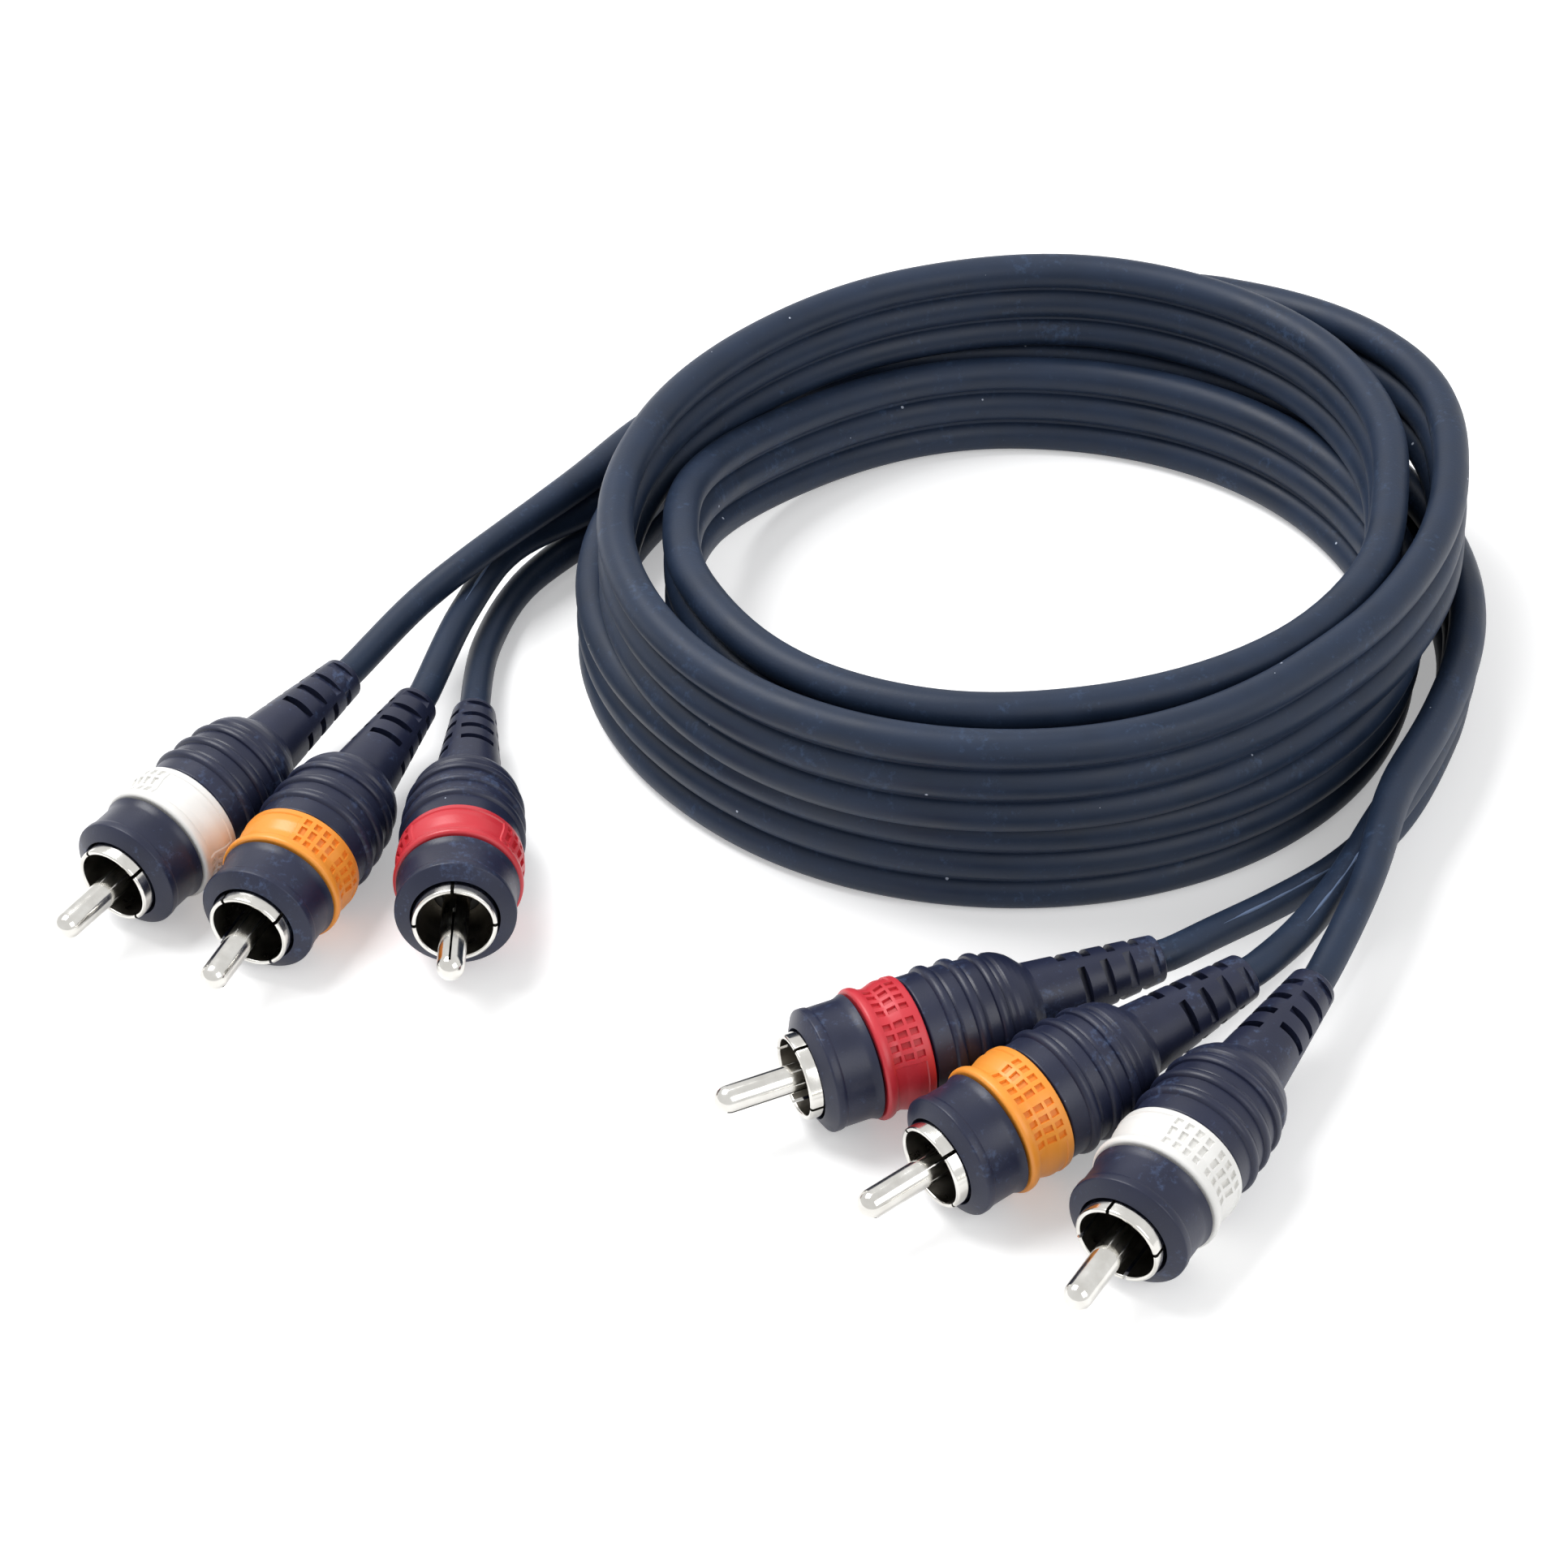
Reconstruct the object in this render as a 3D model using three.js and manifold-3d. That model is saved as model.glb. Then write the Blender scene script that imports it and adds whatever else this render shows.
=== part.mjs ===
// Audio and video lead: three screened strands joined edge to edge as one flat ribbon, wound on a
// table, with a moulded phono plug on each of its six ends. Millimetres, +Z up, lying on z = 0.
// The origin is under the middle of the six plugs.
import * as THREE from 'three';
import { mergeVertices } from 'three/addons/utils/BufferGeometryUtils.js';
import Module from 'manifold-3d';

const wasm = await Module();
wasm.setup();

// Driving dimensions. A station is a distance back along a plug from the mouth of its shell.
const fit = 0.3; // gap between two pieces that touch on the real plug

const pin_radius = 1.6;
const pin_wall = 0.6;
const pin_reach = 7.8; // tip of the pin beyond the mouth
const pin_slit_width = 0.5;
const pin_slit_length = 6.5;
const solder_depth = 3; // of the signal wire in the pin's hollow rear

const mouth_radius = 4.15; // takes the collar of a phono jack
const sleeve_wall = 0.55;
const sleeve_depth = 8.2;
const petal_slot_width = 0.9;
const petal_slot_depth = 5.6;
const shell_wall = 0.6; // floor, barrel and crimp
const crimp_length = 4;

const insulator_wall = 1;
const insulator_station = 6.4;
const insulator_length = 6.2;

const core_radius = 0.7; // signal wire in its insulation
const braid_wall = 0.4;
const lead_radius = 1.9;
const lead_straight = 8; // straight run of a lead behind its strain relief

const nose_station = 2.5;
const nose_wall = 1.95; // walls outside the shell's sleeve
const nose_round = 0.9;
const waist_wall = 1.6;
const waist_length = 2.2;
const seat_wall = 1.2;

const ring_station = 8.6;
const ring_length = 6.3;
const ring_wall = 0.75; // at the saddle
const ring_lip_height = 0.55;
const ring_lip_length = 1.1;

const rib_count = 4;
const rib_pitch = 3;
const rib_crest = 0.95; // first rib above the seat of the ring
const rib_height = 0.45;
const rib_taper = 0.65; // from the first rib to the last
const shoulder_length = 2.4; // dome from the last rib down to the strain relief
const relief_length = 14.4;
const relief_wall_front = 1.7;
const relief_wall_rear = 0.75;
const relief_slot_count = 4; // on each of its four sides
const relief_slot_length = 1.1;
const relief_slot_width = 4.2;
const relief_slot_floor = 0.35; // left between a slot and the lead
const relief_margin = 1.1; // before the first slot and behind the last

const strand_radius = 2.3; // one strand of the joined ribbon
const strand_count = 3;
const coil_radius = 48.3; // centre line of the lower level's inner turn
const lower_turn_gap = 0.1;
const upper_turn_gap = 3.4;
const upper_turn_inset = 4; // of the upper level's inner turn
const coil_centre = [42.7, 65.7];

const left_middle = [-45.9, 14.6]; // plan places of the two middle plugs
const right_middle = [36.1, -26.6];

const plug_facets = 14;
const wire_facets = 8;
const lead_facets = 8;
const coil_facets = 32;

// Sizes that follow from those above
const sleeve_radius = mouth_radius + sleeve_wall;
const sleeve_bore = sleeve_radius + fit;
const shell_floor_station = sleeve_depth + shell_wall;
const insulator_radius = pin_radius + fit + insulator_wall;
const insulator_end = insulator_station + insulator_length;
const barrel_bore = insulator_radius + fit;
const barrel_radius = barrel_bore + shell_wall;
const pin_end = insulator_end + 2 * fit;
const barrel_end = pin_end + fit;
const braid_bore = core_radius + fit;
const braid_radius = braid_bore + braid_wall;
const crimp_bore = braid_radius + fit;
const crimp_radius = crimp_bore + shell_wall;
const crimp_station = barrel_end + shell_wall;
const crimp_end = crimp_station + crimp_length;
const ring_seat_radius = sleeve_bore + seat_wall;
const ring_bore = ring_seat_radius + fit;
const ring_saddle_radius = ring_bore + ring_wall;
const ring_lip_radius = ring_saddle_radius + ring_lip_height;
const ring_end = ring_station + ring_length;
const ring_middle = ring_station + ring_length / 2;
const nose_radius = sleeve_bore + nose_wall;
const waist_radius = sleeve_bore + waist_wall;
const rib_radius_front = ring_seat_radius + rib_crest;
const rib_radius_rear = rib_radius_front - rib_taper;
const ribs_station = ring_end + fit;
const ribs_end = ribs_station + rib_count * rib_pitch;
const lead_bore = lead_radius + fit;
const relief_radius_front = lead_bore + relief_wall_front;
const relief_radius_rear = lead_bore + relief_wall_rear;
const relief_station = ribs_end + shoulder_length;
const relief_end = relief_station + relief_length;
const relief_slot_pitch = (relief_length - 2 * relief_margin) / (relief_slot_count + 0.5);
const plug_radius = Math.max(nose_radius, ring_lip_radius, rib_radius_front);
const ribbon_height = 2 * strand_radius * strand_count;

// Colours of the mouldings, the metal and the cable
const moulding = { color: 0x23263a, roughness: 0.45, metalness: 0 };
const cable_skin = { color: 0x252e42, roughness: 0.6, metalness: 0 };
const nickel = { color: 0xb9b6ae, roughness: 0.25, metalness: 1 };
const black_plastic = { color: 0x17171a, roughness: 0.5, metalness: 0 };
const clear_insulation = { color: 0xd9d6cc, roughness: 0.4, metalness: 0 };
const copper = { color: 0xb4683c, roughness: 0.4, metalness: 1 };
const ring_colours = { white: 0xe6e4dc, orange: 0xf08a1c, red: 0xc4202e };

const radians = THREE.MathUtils.degToRad;

// A geometry as one closed set of shared corners, with no triangle of zero area
function closed(geometry) {
  geometry.deleteAttribute('normal');
  geometry.deleteAttribute('uv');
  const merged = mergeVertices(geometry, 1e-4);
  const corners = merged.index.array;
  const kept = [];
  for (let i = 0; i < corners.length; i += 3) {
    const [a, b, c] = [corners[i], corners[i + 1], corners[i + 2]];
    if (a !== b && b !== c && c !== a) kept.push(a, b, c);
  }
  merged.setIndex(kept);
  return merged;
}

function solid_of(geometry) {
  const shape = closed(geometry);
  return new wasm.Manifold(new wasm.Mesh({
    numProp: 3,
    vertProperties: new Float32Array(shape.attributes.position.array),
    triVerts: new Uint32Array(shape.index.array),
  }));
}

function geometry_of(solid) {
  const mesh = solid.getMesh();
  const geometry = new THREE.BufferGeometry();
  geometry.setAttribute('position', new THREE.BufferAttribute(mesh.vertProperties, 3));
  geometry.setIndex(new THREE.BufferAttribute(mesh.triVerts, 1));
  return geometry;
}

// Takes each cutter out of a geometry
function cut(geometry, cutters) {
  let solid = solid_of(geometry);
  for (const cutter of cutters) solid = solid.subtract(solid_of(cutter));
  return geometry_of(solid);
}

// Turns an outline of [station, radius] points about the plug's axis, which is +X from the mouth
function turned(outline, facets) {
  const points = outline.map(([station, radius]) => new THREE.Vector2(radius, -station));
  return closed(new THREE.LatheGeometry(points, facets).rotateZ(-Math.PI / 2));
}

function box_between(from, to) {
  const size = to.map((value, axis) => value - from[axis]);
  const middle = to.map((value, axis) => (value + from[axis]) / 2);
  return new THREE.BoxGeometry(...size).translate(...middle);
}

// Hollow pin rolled from sheet, with a round tip and a slit along its top
function centre_pin() {
  const tip = -pin_reach;
  const bore = pin_radius - pin_wall;
  const bore_front = tip + pin_radius;
  const outline = [[bore_front, 0], [bore_front, bore], [pin_end, bore], [pin_end, pin_radius]];
  for (const degrees of [90, 60, 30, 0]) {
    const angle = radians(degrees);
    outline.push([
      tip + pin_radius * (1 - Math.cos(angle)),
      pin_radius * Math.sin(angle),
    ]);
  }
  const slit = box_between(
    [-bore_front - pin_slit_length, -pin_slit_width / 2, 0],
    [-bore_front - fit, pin_slit_width / 2, 2 * pin_radius],
  );
  return cut(turned(outline, wire_facets), [slit]);
}

function pin_insulator() {
  const bore = pin_radius + fit;
  return turned([
    [insulator_station, bore],
    [insulator_end, bore],
    [insulator_end, insulator_radius],
    [insulator_station, insulator_radius],
    [insulator_station, bore],
  ], wire_facets);
}

// Sleeve with four petals, a floor, a barrel round the insulator and a crimp round the braid
function ground_shell() {
  const sleeve = turned([
    [0, mouth_radius],
    [sleeve_depth, mouth_radius],
    [sleeve_depth, barrel_bore],
    [barrel_end, barrel_bore],
    [barrel_end, crimp_bore],
    [crimp_end, crimp_bore],
    [crimp_end, crimp_radius],
    [crimp_station, crimp_radius],
    [crimp_station, barrel_radius],
    [shell_floor_station, barrel_radius],
    [shell_floor_station, sleeve_radius],
    [0, sleeve_radius],
    [0, mouth_radius],
  ], plug_facets);
  const slots = [0, 90].map((degrees) => box_between(
    [-petal_slot_depth, -petal_slot_width / 2, -2 * sleeve_radius],
    [petal_slot_depth, petal_slot_width / 2, 2 * sleeve_radius],
  ).rotateX(radians(degrees)));
  return cut(sleeve, slots);
}

// One moulding: nose, seat of the colour ring, ribbed grip and slotted strain relief
function moulded_boot() {
  const outline = [
    [nose_station, sleeve_bore],
    [shell_floor_station + fit, sleeve_bore],
    [shell_floor_station + fit, barrel_radius + fit],
    [crimp_station + fit, barrel_radius + fit],
    [crimp_station + fit, crimp_radius + fit],
    [crimp_end + fit, crimp_radius + fit],
    [crimp_end + fit, crimp_bore],
    [relief_station, crimp_bore],
    [relief_station, lead_bore],
    [relief_end, lead_bore],
    [relief_end, relief_radius_rear],
    [relief_station, relief_radius_front],
  ];
  const shoulder_drop = rib_radius_rear - relief_radius_front;
  for (const degrees of [30, 60]) {
    const angle = radians(degrees);
    outline.push([
      ribs_end + shoulder_length * (1 - Math.sin(angle)),
      rib_radius_rear - shoulder_drop * (1 - Math.cos(Math.PI / 2 - angle)),
    ]);
  }
  for (let rib = rib_count - 1; rib >= 0; rib -= 1) {
    const front = ribs_station + rib * rib_pitch;
    const share = rib / (rib_count - 1);
    const crest = THREE.MathUtils.lerp(rib_radius_front, rib_radius_rear, share);
    outline.push(
      [front + rib_pitch * 0.75, crest],
      [front + rib_pitch * 0.25, crest],
      [front, crest - rib_height],
    );
  }
  outline.push(
    [ribs_station, ring_seat_radius],
    [ring_station - fit, ring_seat_radius],
    [ring_station - fit, waist_radius],
    [ring_station - fit - waist_length, waist_radius],
    [nose_station + 2 * nose_round, nose_radius],
    [nose_station + nose_round, nose_radius],
    [nose_station, nose_radius - nose_round],
    [nose_station, sleeve_bore],
  );
  const slots = [];
  const slot_floor = lead_bore + relief_slot_floor;
  for (let side = 0; side < 4; side += 1) {
    const stagger = side % 2 === 0 ? 0 : relief_slot_pitch / 2;
    for (let slot = 0; slot < relief_slot_count; slot += 1) {
      const front = relief_station + relief_margin + stagger + slot * relief_slot_pitch;
      slots.push(box_between(
        [-front - relief_slot_length, -relief_slot_width / 2, slot_floor],
        [-front, relief_slot_width / 2, 2 * relief_radius_front],
      ).rotateX(side * Math.PI / 2));
    }
  }
  return cut(turned(outline, plug_facets), slots);
}

// Coloured ring with a lip at each edge
function colour_ring() {
  return turned([
    [ring_station, ring_bore],
    [ring_end, ring_bore],
    [ring_end, ring_lip_radius],
    [ring_end - ring_lip_length, ring_lip_radius],
    [ring_end - ring_lip_length - ring_lip_height, ring_saddle_radius],
    [ring_station + ring_lip_length + ring_lip_height, ring_saddle_radius],
    [ring_station + ring_lip_length, ring_lip_radius],
    [ring_station, ring_lip_radius],
    [ring_station, ring_bore],
  ], plug_facets);
}

// Signal wire, from the hollow rear of the pin back to the end of the lead
function signal_core() {
  const front = pin_end - solder_depth;
  return turned([
    [front, 0],
    [relief_station - fit, 0],
    [relief_station - fit, core_radius],
    [front, core_radius],
    [front, 0],
  ], wire_facets);
}

// Braided screen, from the crimp back to the end of the lead
function ground_braid() {
  return turned([
    [crimp_station, braid_bore],
    [relief_station - fit, braid_bore],
    [relief_station - fit, braid_radius],
    [crimp_station, braid_radius],
    [crimp_station, braid_bore],
  ], wire_facets);
}

// Ring of two stacked layers of ribbon, with the strands' crowns and creases on its walls
function coil_ring() {
  const lower_outer = coil_radius + 2 * strand_radius + lower_turn_gap;
  const upper_inner = coil_radius - upper_turn_inset;
  const upper_outer = upper_inner + 2 * strand_radius + upper_turn_gap;
  const crown = strand_radius * Math.cos(Math.PI / 6);
  const rise = strand_radius * Math.sin(Math.PI / 6);
  const crease = strand_radius * 0.5;
  // One wall of a ribbon going up; side is 1 on its outer face and -1 on its inner face
  const wall = (radius, base, side) => {
    const points = [];
    for (let strand = 0; strand < strand_count; strand += 1) {
      const middle = base + strand_radius * (2 * strand + 1);
      if (strand > 0) points.push([radius + side * crease, middle - strand_radius]);
      points.push([radius + side * crown, middle - rise]);
      points.push([radius + side * crown, middle + rise]);
    }
    return points;
  };
  const groove = ribbon_height + crease;
  const top = 2 * ribbon_height;
  const outline = [
    [lower_outer, 0],
    ...wall(lower_outer, 0, 1),
    ...wall(upper_outer, ribbon_height, 1),
    [upper_outer, top],
    [upper_outer - crown, top - strand_radius],
    [upper_outer - crown, groove],
    [upper_inner + crown, groove],
    [upper_inner + crown, top - strand_radius],
    [upper_inner, top],
    ...wall(upper_inner, ribbon_height, -1).reverse(),
    ...wall(coil_radius, 0, -1).reverse(),
    [coil_radius, 0],
    [lower_outer, 0],
  ];
  const points = outline.map(([radius, height]) => new THREE.Vector2(radius, height));
  return closed(new THREE.LatheGeometry(points, coil_facets).rotateX(Math.PI / 2));
}

// Where a plug lies: the middle of its colour ring in plan, the way it points, the rise of its
// nose in degrees and its turn about its own axis. It rests on a lip of its ring.
function place(object, { at, heading, tilt, roll }) {
  const lip_offset = tilt < 0 ? ring_length / 2 : -ring_length / 2;
  const height = ring_lip_radius * Math.cos(radians(tilt))
    - lip_offset * Math.sin(radians(tilt));
  object.rotation.set(radians(roll), -radians(tilt), radians(heading), 'ZYX');
  const middle = new THREE.Vector3(-ring_middle, 0, 0).applyEuler(object.rotation);
  object.position.set(at[0], at[1], height).sub(middle);
  object.updateMatrixWorld(true);
}

function piece(name, geometry, finish) {
  const mesh = new THREE.Mesh(geometry, new THREE.MeshStandardMaterial(finish));
  mesh.name = name;
  return mesh;
}

function phono_plug(plug) {
  const ring_finish = { color: ring_colours[plug.colour], roughness: 0.4, metalness: 0 };
  const group = new THREE.Group();
  group.add(
    piece(`${plug.name}_centre_pin`, centre_pin(), nickel),
    piece(`${plug.name}_pin_insulator`, pin_insulator(), black_plastic),
    piece(`${plug.name}_ground_shell`, ground_shell(), nickel),
    piece(`${plug.name}_moulded_boot`, moulded_boot(), moulding),
    piece(`${plug.name}_colour_ring`, colour_ring(), ring_finish),
    piece(`${plug.name}_signal_core`, signal_core(), clear_insulation),
    piece(`${plug.name}_ground_braid`, ground_braid(), copper),
  );
  place(group, plug);
  return group;
}

// A lead runs straight out of its strain relief, then through its route to the coil
function lead(plug, group) {
  const straight = [relief_station + fit, relief_end, relief_end + lead_straight];
  const start = straight.map((station) => group.localToWorld(new THREE.Vector3(-station, 0, 0)));
  const rest = plug.route.map((point) => new THREE.Vector3(...point));
  const path = new THREE.CatmullRomCurve3([...start, ...rest], false, 'centripetal');
  const section = new THREE.Shape();
  for (let side = 0; side < lead_facets; side += 1) {
    const angle = 2 * Math.PI * side / lead_facets;
    const [x, y] = [lead_radius * Math.cos(angle), lead_radius * Math.sin(angle)];
    if (side === 0) section.moveTo(x, y);
    else section.lineTo(x, y);
  }
  section.closePath();
  const steps = Math.round(path.getLength() / (5 * lead_radius));
  return closed(new THREE.ExtrudeGeometry(section, { steps, extrudePath: path }));
}

// Plan place of a plug beside another one, with a gap between their widest parts
function beside([x, y], bearing, gap) {
  const distance = 2 * plug_radius + gap;
  return [x + distance * Math.cos(radians(bearing)), y + distance * Math.sin(radians(bearing))];
}

// The left ribbon comes down behind the coil with its strands one above the other
const left_ribbon = [
  [61.2, 120.3, 14.3],
  [41.4, 123.3, 10],
  [21.4, 120.4, 5.6],
  [3.5, 110.3, 2.8],
  [-7.7, 99.4, 2.4],
  [-15.5, 87.9, 2.4],
];
const ribbon_strand = (level) => left_ribbon
  .map(([x, y, z]) => [x, y, z + 2 * strand_radius * level])
  .reverse();

const plugs = [
  {
    name: 'left_white', colour: 'white', at: beside(left_middle, 153.5, 1),
    heading: 239, tilt: -2, roll: 0,
    route: [[-29.1, 70.2, 11.3], ...ribbon_strand(2)],
  },
  {
    name: 'left_orange', colour: 'orange', at: left_middle,
    heading: 248.5, tilt: -1, roll: 0,
    route: [[-24.8, 78.5, 6.9], ...ribbon_strand(1)],
  },
  {
    name: 'left_red', colour: 'red', at: beside(left_middle, 0, 4.2),
    heading: 271.5, tilt: 3, roll: 0,
    route: [[-23.5, 75.9, 2.6], ...ribbon_strand(0)],
  },
  {
    name: 'right_red', colour: 'red', at: beside(right_middle, 136.5, 3.1),
    heading: 198.6, tilt: -5, roll: 0,
    route: [[67.8, 12.8, 6], [71.2, 16.6, 4.8]],
  },
  {
    name: 'right_orange', colour: 'orange', at: right_middle,
    heading: 216.2, tilt: -5, roll: 0,
    route: [[72.9, 10.9, 7.8], [76.8, 17.7, 7.1], [80.3, 22.8, 6.9]],
  },
  {
    name: 'right_white', colour: 'white', at: beside(right_middle, -29, 2.3),
    heading: 234.6, tilt: -4, roll: 0,
    route: [[76.6, 8.5, 11], [79.4, 15.6, 11.4], [82.5, 24.8, 11.5]],
  },
];

const audio_lead = new THREE.Group();
for (const plug of plugs) {
  const group = phono_plug(plug);
  audio_lead.add(group);
  audio_lead.add(piece(`${plug.name}_lead`, lead(plug, group), cable_skin));
}
const coil = piece('cable_coil', coil_ring(), cable_skin);
coil.position.set(coil_centre[0], coil_centre[1], 0);
audio_lead.add(coil);

export default audio_lead;
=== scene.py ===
# %% [markdown]
# # A coiled audio and video lead with six phono plugs
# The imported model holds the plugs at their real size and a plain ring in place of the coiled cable.
# This script gives them their looks: the three joined strands at their full length, smooth mouldings,
# pressed metal, and a finish for each. Sizes and places are written in millimetres, in the model's own
# frame, and become metres where an object is made.

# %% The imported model
import math

import bpy
from mathutils import Euler, Matrix, Vector


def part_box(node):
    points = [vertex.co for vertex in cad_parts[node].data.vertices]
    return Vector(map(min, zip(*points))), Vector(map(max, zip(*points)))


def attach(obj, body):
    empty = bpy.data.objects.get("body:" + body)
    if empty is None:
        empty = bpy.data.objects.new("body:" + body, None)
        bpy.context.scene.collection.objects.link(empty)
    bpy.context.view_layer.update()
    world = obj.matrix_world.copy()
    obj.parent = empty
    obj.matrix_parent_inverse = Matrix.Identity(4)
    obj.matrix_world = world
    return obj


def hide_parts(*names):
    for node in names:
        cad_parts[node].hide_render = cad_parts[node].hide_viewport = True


MM = 0.001
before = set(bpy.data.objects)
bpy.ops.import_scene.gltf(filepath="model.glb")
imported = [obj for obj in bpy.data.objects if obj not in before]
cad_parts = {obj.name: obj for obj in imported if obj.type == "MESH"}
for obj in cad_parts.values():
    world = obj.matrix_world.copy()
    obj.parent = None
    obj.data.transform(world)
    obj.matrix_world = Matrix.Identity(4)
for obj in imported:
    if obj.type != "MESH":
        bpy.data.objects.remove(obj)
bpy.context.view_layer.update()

# %% [markdown]
# ## The camera
# The photograph looks down on the lead from the front, with a long lens. Six plugs of one standard size
# and the round coil fix the viewpoint: one height, one distance and one tilt explain all of them. The
# focal length is given for a sensor 36 mm wide, because the picture is square.

# %% The camera
PICTURE_SIDE = 1932
FOCAL_PIXELS = 4197.26
CAMERA_PLACE = Vector((10.72, -284.65, 266.06)) * MM
CAMERA_TILT = 39.469

camera_data = bpy.data.cameras.new("camera")
camera_data.sensor_width = 36
camera_data.lens = camera_data.sensor_width * FOCAL_PIXELS / PICTURE_SIDE
camera_data.clip_start = 0.01
camera = bpy.data.objects.new("camera", camera_data)
camera.location = CAMERA_PLACE
camera.rotation_euler = (math.radians(90 - CAMERA_TILT), 0, 0)
bpy.context.scene.collection.objects.link(camera)
bpy.context.scene.camera = camera
print("lens in mm:", round(camera_data.lens, 2))

# %% [markdown]
# ## The plugs' places
# The cable starts in the plugs, so their places come first. Each plug has a frame of its own: its axis is
# X, the mouth of its shell is at 0, and a station is a distance back from the mouth. A plug is placed by
# the middle of its colour ring, the way it points, and the rise of its nose, and it rests on whatever
# part of it reaches lowest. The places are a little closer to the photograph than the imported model's.

# %% Sizes that place the plugs
PLUG_RADIUS = 7.5
RING_STATION = 8.0
RING_LENGTH = 5.8
RELIEF_STATION = 28.4
RELIEF_END = 44.2
FIT = 0.3
LEAD_STRAIGHT = 1.5
LEFT_MIDDLE = (-46.3, 13.1)
RIGHT_MIDDLE = (34.8, -27.1)
LEFT_WHITE_GAP = 1.5
LEFT_RED_GAP = 4.6
RIGHT_RED_GAP = 2.1
RIGHT_WHITE_GAP = 3.2
SUPPORTS = ((3.4, 6.95), (8.0, 7.5), (13.8, 7.5), (17.1, 7.4), (20.1, 7.4), (23.0, 7.3))


def beside(plan, bearing, gap):
    """Plan place of a plug beside another one, with a gap between their widest parts."""
    distance = 2 * PLUG_RADIUS + gap
    turn = math.radians(bearing)
    return (plan[0] + distance * math.cos(turn), plan[1] + distance * math.sin(turn))


def plug_matrix(at, heading, tilt):
    """The frame in metres of a plug that rests on whichever of its supports reaches lowest."""
    turn = Euler((0, -math.radians(tilt), math.radians(heading)), "XYZ").to_matrix()
    rise = math.radians(tilt)
    middle_station = RING_STATION + RING_LENGTH / 2
    height = max(
        radius * math.cos(rise) + (station - middle_station) * math.sin(rise)
        for station, radius in SUPPORTS
    )
    middle = turn @ Vector((-middle_station, 0, 0))
    place = Vector((at[0], at[1], height)) - middle
    return Matrix.Translation(place * MM) @ turn.to_4x4()


# %% The six plugs
# name, colour, plan place, heading, tilt, and how far its boot, ring, shell and pin are turned
PLUG_ROWS = [
    ("left_white", "white", beside(LEFT_MIDDLE, 153.7, LEFT_WHITE_GAP), 238.5, -1.7, 70, 89, 40, 150),
    ("left_orange", "orange", LEFT_MIDDLE, 249, -0.6, 70, -14, 35, -120),
    ("left_red", "red", beside(LEFT_MIDDLE, -2, LEFT_RED_GAP), 271.5, 5.9, 70, 130, 0, 0),
    ("right_red", "red", beside(RIGHT_MIDDLE, 139.6, RIGHT_RED_GAP), 203, -2.3, 40, 20, -8, -110),
    ("right_orange", "orange", RIGHT_MIDDLE, 216.2, -4.5, 40, 7, -34, -120),
    ("right_white", "white", beside(RIGHT_MIDDLE, -28.4, RIGHT_WHITE_GAP), 236.4, -2.7, 40, 2, 15, -120),
]
TURN_NAMES = ("boot", "ring", "shell", "pin")
plugs = {}
for name, colour, at, heading, tilt, *turns in PLUG_ROWS:
    plugs[name] = {
        "colour": colour,
        "matrix": plug_matrix(at, heading, tilt),
        "turns": dict(zip(TURN_NAMES, turns)),
    }
    print(name, "mouth at", [round(v / MM, 1) for v in plugs[name]["matrix"].translation])

# %% [markdown]
# ## The cable's route
# The real cable is three screened strands moulded edge to edge, wound about three and a half times: the
# lower turns rest on the table and the upper ones on them, and the strands stand one above the other all
# the way. Each turn is a little out of round, so the route is a table of listed places: plan angle,
# radius of the top strand, height of the bottom strand, and how far each strand below steps inwards. A
# loop then works out the turns from it. Where the cable isn't wound, its points are chosen one by one.

# %% The wound stretch
COIL_CENTRE = (41.4, 64.9)
STRAND_RADIUS = 2.3
STRANDS = ("white", "orange", "red")
TURN_STEP = 4
TURNS = [
    (-45, 57.6, 2.3, 0.5), (-25, 55.3, 2.3, 0.4), (0, 55.4, 2.3, 0.2), (45, 55.2, 2.3, 0),
    (90, 53.9, 2.3, 0), (135, 54.3, 2.3, 0), (180, 54.8, 2.3, 0), (225, 52.2, 2.3, 0.2),
    (270, 49.1, 2.3, 0.3), (315, 47.9, 2.3, 0.3), (360, 48.4, 2.3, 0.4), (405, 49.8, 2.3, 0.5),
    (450, 48.6, 2.3, 0.4), (495, 45.0, 4.5, 0.3), (540, 43.5, 12.5, 0.1), (565, 45.3, 15.5, 0),
    (592, 46.8, 16.1, 0), (612, 45.7, 16.1, 0), (635, 43.3, 16.1, 0), (655, 42.4, 16.1, 0),
    (680, 42.6, 16.1, 0), (700, 43.4, 16.1, 0), (720, 44.6, 16.1, 0), (742, 48.9, 16.1, 0),
    (765, 52.6, 16.1, 0), (795, 53.6, 16.1, 0), (825, 50.9, 16.1, 0), (855, 49.0, 16.1, 0),
    (885, 49.9, 16.1, 0), (915, 52.4, 16.1, 0), (952, 53.6, 16.1, 0), (990, 50.8, 16.1, 0),
    (1030, 46.9, 16.1, -0.3), (1050, 47.5, 16.1, -0.4), (1065, 49.2, 16.1, -0.4),
    (1085, 53.0, 16.1, -0.3), (1105, 58.3, 16.0, 0), (1120, 59.6, 15.3, 0), (1145, 58.8, 12.8, 0),
]


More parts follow.
